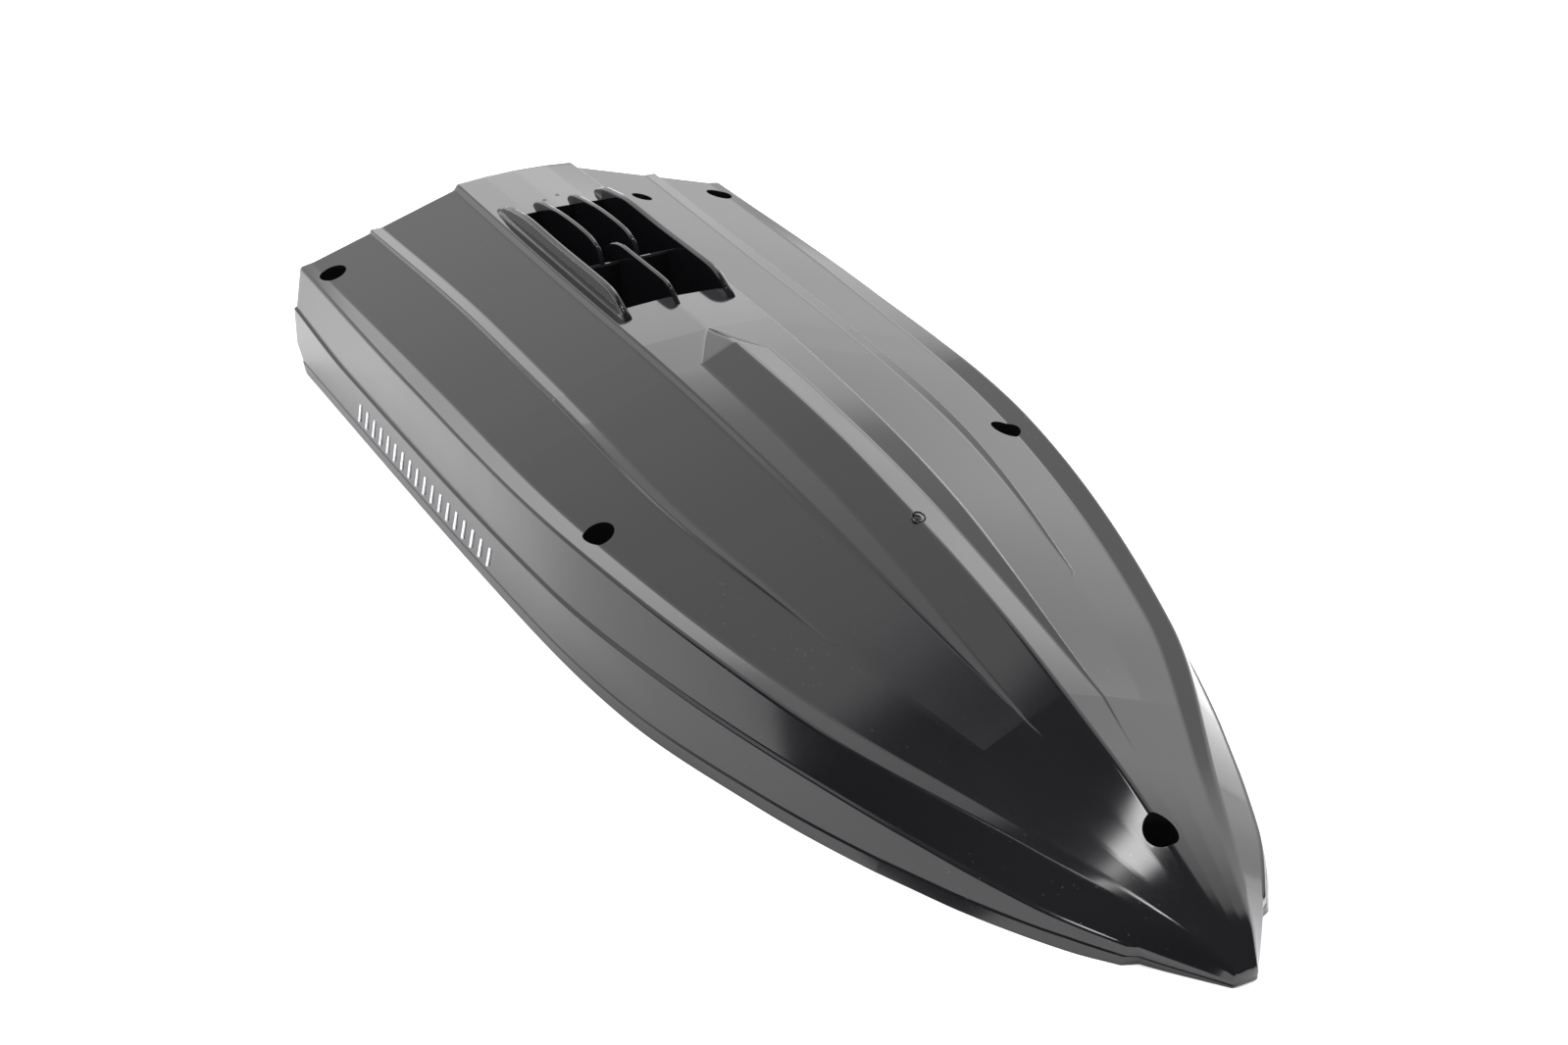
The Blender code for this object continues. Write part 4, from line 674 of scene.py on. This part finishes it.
def makeGrille():
    rail, vane = grille["railThickness"], grille["vaneThickness"]
    made = [bladePiece("rail", grille["railCrest"], side * grille["railOffset"], rail,
                       grille["railFoot"], (side,)) for side in (1, -1)]
    made += [bladePiece("vane", grille["vaneCrest"], side * grille["vaneOffset"], vane,
                        grille["vaneFoot"], ()) for side in (1, -1)]
    made.append(bladePiece("frontVane", grille["frontCrest"], 0, vane, grille["vaneFoot"], ()))
    barLow = hull["depth"] - grille["depth"] + 0.5 * mm
    shoulder, crest, flat = hull["depth"] - 0.3 * mm, hull["depth"] + 0.1 * mm, 0.2 * mm
    profile = [(-vane / 2, barLow), (vane / 2, barLow), (vane / 2, shoulder), (flat, crest), (-flat, crest),
               (-vane / 2, shoulder)]
    x = transom + grille["crossbar"]
    reach = grille["railOffset"]
    rows = [[Vector((x + px, y, z)) for px, z in profile] for y in (-reach, reach)]
    made.append(newPiece("crossbar", lambda bm: loft(bm, rows), "gloss_black"))
    return made


def boxTool(name, low, high):
    rows = [[Vector((x, low[1], low[2])), Vector((x, high[1], low[2])), Vector((x, high[1], high[2])),
             Vector((x, low[1], high[2]))] for x in (low[0], high[0])]
    return newPiece(name, lambda bm: loft(bm, rows), "gloss_black")


def cornerTool(side):
    beam = hull["beam"] / 2
    low = Vector((hull["cornerLength"], side * beam, 0))
    high = Vector((0, side * (beam + 1 * mm), hull["cornerHeight"]))
    inner = Vector((0, side * (beam - hull["cornerWidth"]), 0))
    normal = (high - low).cross(inner - low).normalized()
    if normal.x > 0:
        normal = -normal
    size = 40 * mm
    turn = normal.to_track_quat("Z", "Y").to_matrix().to_4x4()
    middle = (low + high + inner) / 3 + normal * size / 2 + Vector((transom, 0, 0))
    tool = boxTool("cornerTool", [-size / 2] * 3, [size / 2] * 3)
    tool.data.transform(Matrix.Translation(middle) @ turn)
    return tool


def makeHull():
    rings = [hullRing(0, 0.5 * mm), hullRing(0.0003, 0.2 * mm), hullRing(0.0009, 0.05 * mm), hullRing(0.0018)]
    rings[0] = [Vector((transom, p.y, p.z)) for p in rings[0]]
    rings += [hullRing(s) for s in stationShares() if 0.003 < s < 0.9984]
    rings += [hullRing(noseStation)] + noseRings()
    body = newPiece("hull", lambda bm: loft(bm, rings), "gloss_black")
    shares = [hull["wall"] / length] + [i / 60 for i in range(1, 57)] + [hull["cavityEnd"]]
    cavity = newPiece("cavityTool", lambda bm: loft(bm, [cavityRing(s) for s in shares]), "gloss_black")
    combine(cavity, makeBosses(), "DIFFERENCE")
    combine(body, cavity, "DIFFERENCE")
    throatLow = hull["depth"] - grille["depth"] - 2 * mm
    start, half = transom + grille["start"], grille["railOffset"]
    low, high = (start, -half, throatLow), (start + grille["length"], half, throatLow + 30 * mm)
    combine(body, boxTool("throat", low, high), "DIFFERENCE")
    for blade in makeGrille():
        combine(body, blade, "UNION")
    rods = []
    pilots = []
    for x, y in pillarCentres():
        seat = pillars["foot"] + pillars["floor"]
        rods.append(upright(transom + x, y, seat, hull["depth"] + 8 * mm, pillars["bore"]))
        pilots.append(upright(transom + x, y, -1 * mm, seat + 1 * mm, pillars["pilot"]))
    combine(body, rodTool("bores", rods, 40), "DIFFERENCE")
    for kind in ("duct", "mount", "servo"):
        for node in posts[kind][:2]:
            x, y, seat = screwHead(node)
            pilots.append(upright(x, y, seat - 2 * mm, bottomHeight(x - transom, y) - 3 * mm, 1.4 * mm))
    low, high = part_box("water_inlet")
    pilots.append(upright((low.x + high.x) / 2, (low.y + high.y) / 2, 20 * mm, 50 * mm, 2.5 * mm))
    combine(body, rodTool("pilots", pilots, 24), "DIFFERENCE")
    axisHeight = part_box("drive_shaft")[0].z + 1.5 * mm
    depth = (transom - 2 * mm, transom + hull["wall"] + 1 * mm)
    opening = [((depth[0], 0, axisHeight), (depth[1], 0, axisHeight), 11.6 * mm, 11.6 * mm)]
    combine(body, rodTool("pumpOpening", opening, 64), "DIFFERENCE")
    holes = []
    for node, radius in (("pushrod_gaiter", 2.75 * mm), ("water_outlet", 2.6 * mm)):
        low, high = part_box(node)
        y, z = (low.y + high.y) / 2, (low.z + high.z) / 2
        holes.append(((depth[0], y, z), (depth[1], y, z), radius, radius))
    for index in range(1, 5):
        low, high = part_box("pump_screw_%d" % index)
        y, z = (low.y + high.y) / 2, (low.z + high.z) / 2
        holes.append(((depth[0], y, z), (depth[1], y, z), 1.4 * mm, 1.4 * mm))
    combine(body, rodTool("transomHoles", holes, 48), "DIFFERENCE")
    for side in (1, -1):
        combine(body, cornerTool(side), "DIFFERENCE")
    flatFacets(smoothOver(body, 28))
    return addPiece(body, "hull", "gloss_black", "hull_shell")


hullPiece = makeHull()
print("hull made:", len(hullPiece.data.polygons), "faces")


# Small moulded and printed details on the hull.
details = {"dashStart": 43 * mm, "dashEnd": 122 * mm, "dashPitch": 4.4 * mm, "dashWidth": 0.9 * mm,
           "dashLow": 3.6 * mm, "dashHigh": 8.4 * mm, "dashLean": 1.5 * mm, "dashProud": 0.06 * mm,
           "dashSunk": 0.2 * mm,
           "gateStation": 192.5 * mm, "gateRadius": 1.35 * mm, "dotStation": 20 * mm, "dotBreadth": 2.6 * mm}


def sidePoint(x, z, proud):
    # A point on the starboard lower band at a station and height.
    s = x / length
    crease, rim = fair(sideLine, s), fair(rimLine, s)[0]
    share = z / crease[1]
    breadth = rim + (crease[0] + hull["bandLedge"] - rim) * share
    return Vector((transom + x, -breadth - proud, z))


def makeDashes():
    # A generic row of slanted bars where the side carries its decoration.
    def build(bm):
        count = int((details["dashEnd"] - details["dashStart"]) / details["dashPitch"])
        for index in range(count + 1):
            start = details["dashStart"] + index * details["dashPitch"]
            rows = []
            for along in (0, 0.5, 1):
                x = start + along * details["dashWidth"]
                low, high = (x, details["dashLow"]), (x + details["dashLean"], details["dashHigh"])
                rows.append([sidePoint(*low, details["dashProud"]), sidePoint(*high, details["dashProud"]),
                             sidePoint(*high, -details["dashSunk"]), sidePoint(*low, -details["dashSunk"])])
            loft(bm, rows)
    return addPiece(newPiece("sideDashes", build, "print_white"), "hull", "print_white")


def makeMarks():
    # The gate scar on the keel and two ejector dots at the stern.
    def ring(bm, x, y, height, radius, tilt):
        tube = 0.16 * radius
        profile = [(radius + tube * math.cos(a), tube * math.sin(a))
                   for a in [step / 8 * 2 * math.pi for step in range(8)]]
        loft(bm, turnedRows(profile, (transom + x, y, height), (tilt, 0, 1), 28), closedRows=True)

    def build(bm):
        x = details["gateStation"]
        height = fair(keelLine, x / length)[1]
        ring(bm, x, 0, height - 0.05 * mm, details["gateRadius"], 0.3)
        ring(bm, x, 0, height - 0.1 * mm, 0.4 * details["gateRadius"], 0.3)
        for shift in (0, 4 * mm):
            x = details["dotStation"] + shift * 0.4
            y = details["dotBreadth"] - shift
            ring(bm, x, y, bottomHeight(x, y), 0.45 * mm, 0)
    marks = smoothOver(newPiece("mouldMarks", build, "gloss_black"))
    return addPiece(marks, "hull", "gloss_black")


makeDashes()
makeMarks()
print("hull details made")


# Screws: the shared sizes, and the direction each one points from its head.
screws = {"headHeight": 1.5 * mm, "recessDepth": 0.9 * mm, "threadPitch": 0.8 * mm, "threadDepth": 0.18 * mm,
          "shank": 1.2 * mm, "smallShank": 0.8 * mm,
          "nodes": {"duct_screw_port": "Z", "duct_screw_starboard": "Z", "mount_screw_port": "Z",
                    "mount_screw_starboard": "Z", "servo_screw_rear": "Z", "servo_screw_front": "Z",
                    "pump_screw_1": "X", "pump_screw_2": "X", "pump_screw_3": "X", "pump_screw_4": "X",
                    "motor_screw_port": "X", "motor_screw_starboard": "X", "nozzle_pivot_lower": "Z",
                    "nozzle_pivot_upper": "-Z", "servo_horn_screw": "Z"}}


def makeScrew(node, pointing, body):
    # A pan head with a cross recess over a threaded shank; the head is at the start of its direction.
    low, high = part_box(node)
    middle = (low + high) / 2
    along = Vector((1, 0, 0)) if pointing == "X" else Vector((0, 0, -1 if pointing == "-Z" else 1))
    size = high - low
    total = abs(size.dot(along))
    head = (size.y if pointing == "X" else size.x) / 2 * 0.98
    small = node.startswith("nozzle_pivot") or node == "servo_horn_screw"
    shank = screws["smallShank"] if small else screws["shank"]
    start = middle - along * total / 2
    tall = screws["headHeight"]
    profile = [(0.001 * mm, 0), (0.45 * head, 0.04 * mm), (0.75 * head, 0.22 * mm), (0.93 * head, 0.6 * mm),
               (head, 1.1 * mm), (head, tall), (shank, tall), (shank, tall + 0.1 * mm)]
    turns = int((total - tall - 0.8 * mm) / screws["threadPitch"])
    for turn in range(turns):
        at = tall + 0.2 * mm + turn * screws["threadPitch"]
        profile += [(shank - screws["threadDepth"], at + 0.2 * mm), (shank, at + 0.55 * mm)]
    profile += [(0.55 * shank, total - 0.1 * mm), (0.001 * mm, total)]
    screwPiece = newPiece(node + "_fine", lambda bm: solidTurned(bm, profile, start, along, 32), "steel")
    side = along.orthogonal().normalized()
    other = along.cross(side)
    arms = []
    for across, thin in ((side, other), (other, side)):
        wide, narrow = across * head * 0.5, thin * head * 0.12
        square = ((1, 1), (-1, 1), (-1, -1), (1, -1))
        rows = [[start + along * depth + wide * k + narrow * j for k, j in square]
                for depth in (-0.2 * mm, screws["recessDepth"])]
        arms.append(newPiece("crossArm", lambda bm, rows=rows: loft(bm, rows), "steel"))
    for arm in arms:
        combine(screwPiece, arm, "DIFFERENCE")
    smoothOver(screwPiece, 35)
    return addPiece(screwPiece, body, "steel", node)


for node, pointing in screws["nodes"].items():
    makeScrew(node, pointing, "servo_arm" if node == "servo_horn_screw" else "hull")
print("screws made:", len(screws["nodes"]))


# Steering nozzle, gaiter, water outlet and the receiver's foam.
nozzle = {"bore": 7.6 * mm, "wall": 1.4 * mm, "start": -1 * mm, "end": -13 * mm, "taper": 0.84,
          "ear": 3.2 * mm, "plate": 1.6 * mm, "arm": 12 * mm, "armHalf": 2.2 * mm, "armRoot": 3 * mm,
          "pivotHole": 1.2 * mm, "rodHole": 0.95 * mm}


def platePiece(outline, centre, middle, thickness):
    # A flat plate with softly broken edges, lying level.
    inset = 0.2 * mm
    rows = []
    for rise, shrink in ((-0.5, 1), (-0.4, 0), (0.4, 0), (0.5, 1)):
        factor = 1 - shrink * inset / (2.5 * mm)
        rows.append([Vector((centre.x + x * factor, centre.y + y * factor, middle + rise * thickness))
                     for x, y in outline])
    return newPiece("plate", lambda bm: loft(bm, rows), "satin_black")


def makeNozzle():
    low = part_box("nozzle_pivot_lower")[0]
    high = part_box("nozzle_pivot_upper")[1]
    centre = Vector((low.x + (high.x - low.x) / 2, 0, (low.z + high.z) / 2))
    bore, outer = nozzle["bore"], nozzle["bore"] + nozzle["wall"]
    start, end, taper = nozzle["start"], nozzle["end"], nozzle["taper"]
    profile = [(outer, start, 0), (outer * taper, end, 0), (bore * (taper - 0.02), end, 0), (bore, start, 0)]
    rounded = [(p[0], p[1]) for p in softened(profile, 0.45 * mm)]
    piece = turned("steeringNozzle", rounded, centre, (1, 0, 0), "satin_black", 72)
    root, half, reach = nozzle["armRoot"], nozzle["armHalf"], nozzle["arm"]
    ear = [(-4 * mm, -nozzle["ear"]), (0, -nozzle["ear"])]
    ear += [(nozzle["ear"] * math.cos(a), nozzle["ear"] * math.sin(a))
            for a in [math.radians(-75 + 15 * step) for step in range(11)]]
    ear += [(0, nozzle["ear"]), (-4 * mm, nozzle["ear"])]
    arm = [(root, 0)] + [(half * math.cos(a), -reach + half * math.sin(a))
                         for a in [-step / 16 * math.pi for step in range(17)]] + [(-root, 0)]
    level = bore + nozzle["plate"] / 2
    for outline, rise in ((ear, level), (ear, -level), (arm, -level)):
        combine(piece, platePiece(outline, centre, centre.z + rise, nozzle["plate"]), "UNION")
    tall = bore + 3 * mm
    rods = [upright(centre.x, 0, centre.z - tall, centre.z + tall, nozzle["pivotHole"]),
            upright(centre.x, -reach, centre.z - tall, centre.z - bore + 1 * mm, nozzle["rodHole"])]
    combine(piece, rodTool("nozzleHoles", rods, 32), "DIFFERENCE")
    flatFacets(smoothOver(piece, 30))
    return addPiece(piece, "nozzle", "satin_black", "steering_nozzle")


def turnedNode(name, node, profile, slot, segments=48):
    # A fine turned piece in place of a stern fitting, its profile measured from the transom.
    low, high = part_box(node)
    centre = (transom, (low.y + high.y) / 2, (low.z + high.z) / 2)
    rounded = [(p[0], p[1]) for p in softened([(r * mm, x * mm, 0) for r, x in profile], 0.25 * mm)]
    piece = turned(name, rounded, centre, (1, 0, 0), slot, segments)
    flatFacets(smoothOver(piece, 40))
    return addPiece(piece, "hull", slot, node)


# Profiles of the stern fittings in millimetres: radius, then distance ahead of the transom's outer face.
gaiterProfile = ((2.1, 3.1), (2.55, 2.9), (3.1, 2.15), (2.5, 2.1), (2.5, -0.3), (3.2, -0.3), (3.2, -1.0),
                 (2.6, -1.3), (2.9, -1.7), (2.5, -2.1), (2.7, -2.5), (2.1, -3.0), (1.85, -3.0), (1.85, 3.1))
outletProfile = ((1.5, 10), (1.3, 9.2), (1.62, 8.0), (1.3, 7.9), (1.62, 6.4), (1.3, 6.3), (1.5, 3.9),
                 (3.3, 3.8), (3.3, 2.1), (2.3, 2.1), (2.3, -0.3), (3.9, -0.3), (3.9, -1.2), (1.6, -1.8),
                 (1.5, -3.2), (1.65, -3.5), (1.5, -5), (0.9, -5), (0.9, 10))


def makeFittings():
    turnedNode("rodGaiter", "pushrod_gaiter", gaiterProfile, "rubber")
    turnedNode("waterOutlet", "water_outlet", outletProfile, "brass")


foamPad = {"rows": 14, "pull": 0.6 / 14, "cornerPull": 0.05}    # the pulls are shares of the half width


def makeFoamPad():
    # A soft block pressed between the box and the hull: its sides draw in at the ends and the corners.
    thing = frame["nodes"]["receiver_foam"]
    low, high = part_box("receiver_foam")
    heights = sorted({(round(v.co.y, 6), round(v.co.z, 6)) for v in thing.data.vertices})
    nearTop = max(z for y, z in heights if abs(y - low.y) < 0.1 * mm)
    farTop = max(z for y, z in heights if abs(y - high.y) < 0.1 * mm)

    def build(bm):
        bmesh.ops.create_cube(bm, size=2)
        bmesh.ops.subdivide_edges(bm, edges=bm.edges, cuts=foamPad["rows"], use_grid_fill=True)
        for vert in bm.verts:
            x, y, z = vert.co
            top = nearTop + (farTop - nearTop) * (y + 1) / 2
            waist = 1 - foamPad["pull"] * z * z
            corner = 1 - foamPad["cornerPull"] * (x * x * y * y)
            vert.co = Vector(((low.x + high.x) / 2 + x * (high.x - low.x) / 2 * waist * corner,
                              (low.y + high.y) / 2 + y * (high.y - low.y) / 2 * waist * corner,
                              low.z + (z + 1) / 2 * (top - low.z)))
    piece = smoothOver(newPiece("foamPad", build, "foam"), 50)
    addPiece(piece, "hull", "foam", "receiver_foam")


makeNozzle()
makeFittings()
makeFoamPad()
print("stern fittings and foam made")


# CAD nodes that keep their shape get a small bevel.
shownBevel = {"width": 0.12 * mm, "segments": 2, "angle": 40}


def dressNodes():
    slots = {row["node"]: row["material_slot"] for row in frame["record"]["subparts"]}
    for name, thing in frame["nodes"].items():
        if thing.hide_render:
            continue
        if not thing.material_slots:
            thing.data.materials.append(None)
        for slot in thing.material_slots:
            slot.material = materials[slots[name]]
        weld = thing.modifiers.new("weld", "WELD")
        weld.merge_threshold = 0.000005
        bevel = thing.modifiers.new("edges", "BEVEL")
        bevel.width = shownBevel["width"]
        bevel.segments = shownBevel["segments"]
        bevel.limit_method = "ANGLE"
        bevel.angle_limit = math.radians(shownBevel["angle"])
        bevel.harden_normals = False
        for polygon in thing.data.polygons:
            polygon.use_smooth = True


dressNodes()
print("nodes dressed")


studio = {
    "floorSize": 6.0, "floorColour": (0.86, 0.86, 0.87),
    "base": 0.05,
    # azimuth and half width, elevation and half height, soft edge, strength, all angles in degrees
    "boxes": ((168, 72, 30, 36, 4, 1.3), (151, 19, 24.5, 7.5, 2.5, 1.5), (206, 20, 11, 10, 4, 0.6),
              (120, 14, 15, 18, 5, 0.45), (245, 26, 84.5, 4, 1.2, 16)),
    "topHeight": 1.6, "topSize": 2.4, "topPower": 95,
}
camera = {"place": (0.431736, -0.233497, 0.284049), "right": (0.47578, 0.87956, 0.00024),
          "up": (-0.43093, 0.23286, 0.87182), "lens": 61.40, "sensor": 36}


def makeFloor():
    size = studio["floorSize"]
    rows = [[Vector((x * size / 8, y * size / 8, 0)) for y in range(-4, 5)] for x in range(-4, 5)]

    def build(bm):
        grid = [[bm.verts.new(p) for p in row] for row in rows]
        for here, there in zip(grid, grid[1:]):
            for i in range(len(here) - 1):
                bm.faces.new((here[i], there[i], there[i + 1], here[i + 1]))
    mesh = bpy.data.meshes.new("floor")
    bm = bmesh.new()
    build(bm)
    bm.to_mesh(mesh)
    bm.free()
    floor = bpy.data.objects.new("floor", mesh)
    scene.collection.objects.link(floor)
    paint = Paint("paleFloor", studio["floorColour"], 0.9)
    mesh.materials.append(paint.material)
    floor.location.z = -0.02 * mm


def makeWorld():
    # Dim room with soft boxes drawn by direction, so that gloss picks them up.
    world = bpy.data.worlds.new("studio")
    scene.world = world
    world.use_nodes = True
    nodes, links = world.node_tree.nodes, world.node_tree.links
    background = nodes["Background"]

    def maths(kind, first, second=0.0, clamp=False):
        node = nodes.new("ShaderNodeMath")
        node.operation = kind
        node.use_clamp = clamp
        for socket, value in zip(node.inputs, (first, second)):
            if isinstance(value, (int, float)):
                socket.default_value = value
            else:
                links.new(value, socket)
        return node.outputs["Value"]

    direction = nodes.new("ShaderNodeTexCoord").outputs["Generated"]
    split = nodes.new("ShaderNodeSeparateXYZ")
    links.new(direction, split.inputs["Vector"])
    x, y, z = (split.outputs[axis] for axis in "XYZ")
    azimuth = maths("MULTIPLY", maths("ARCTAN2", y, x), 180 / math.pi)
    elevation = maths("MULTIPLY", maths("ARCSINE", z), 180 / math.pi)

    def window(angle, middle, half, edge, wrap=False):
        away = maths("SUBTRACT", angle, middle)
        if wrap:
            away = maths("WRAP", away, 180)
            away.node.inputs[2].default_value = -180
        away = maths("ABSOLUTE", away)
        share = maths("DIVIDE", maths("SUBTRACT", half + edge, away), 2 * edge, clamp=True)
        squared = maths("MULTIPLY", share, share)
        return maths("MULTIPLY", squared, maths("SUBTRACT", 3, maths("MULTIPLY", share, 2)))

    total = studio["base"]
    for middleAz, halfAz, middleEl, halfEl, edge, strength in studio["boxes"]:
        mask = maths("MULTIPLY", window(azimuth, middleAz, halfAz, edge, True),
                     window(elevation, middleEl, halfEl, edge))
        total = maths("ADD", total, maths("MULTIPLY", mask, strength))
    links.new(total, background.inputs["Strength"])
    background.inputs["Color"].default_value = (1, 1, 1, 1)


def makeLights():
    # A large lamp overhead whitens the floor; it is kept out of the gloss.
    light = bpy.data.lights.new("topLight", "AREA")
    light.shape = "SQUARE"
    light.size = studio["topSize"]
    light.energy = studio["topPower"]
    lamp = bpy.data.objects.new("topLight", light)
    lamp.location = (0, 0, studio["topHeight"])
    lamp.visible_glossy = False
    scene.collection.objects.link(lamp)


def makeCamera():
    data = bpy.data.cameras.new("camera")
    data.lens = camera["lens"]
    data.sensor_width = camera["sensor"]
    data.clip_start = 0.01
    eye = bpy.data.objects.new("camera", data)
    right, up = Vector(camera["right"]), Vector(camera["up"])
    back = right.cross(up)
    turn = Matrix((right, up, back)).transposed().to_4x4()
    eye.matrix_world = Matrix.Translation(camera["place"]) @ turn
    scene.collection.objects.link(eye)
    scene.camera = eye


makeFloor()
makeWorld()
makeLights()
makeCamera()
scene.view_settings.view_transform = "Standard"
scene.view_settings.look = "None"
print("studio ready")
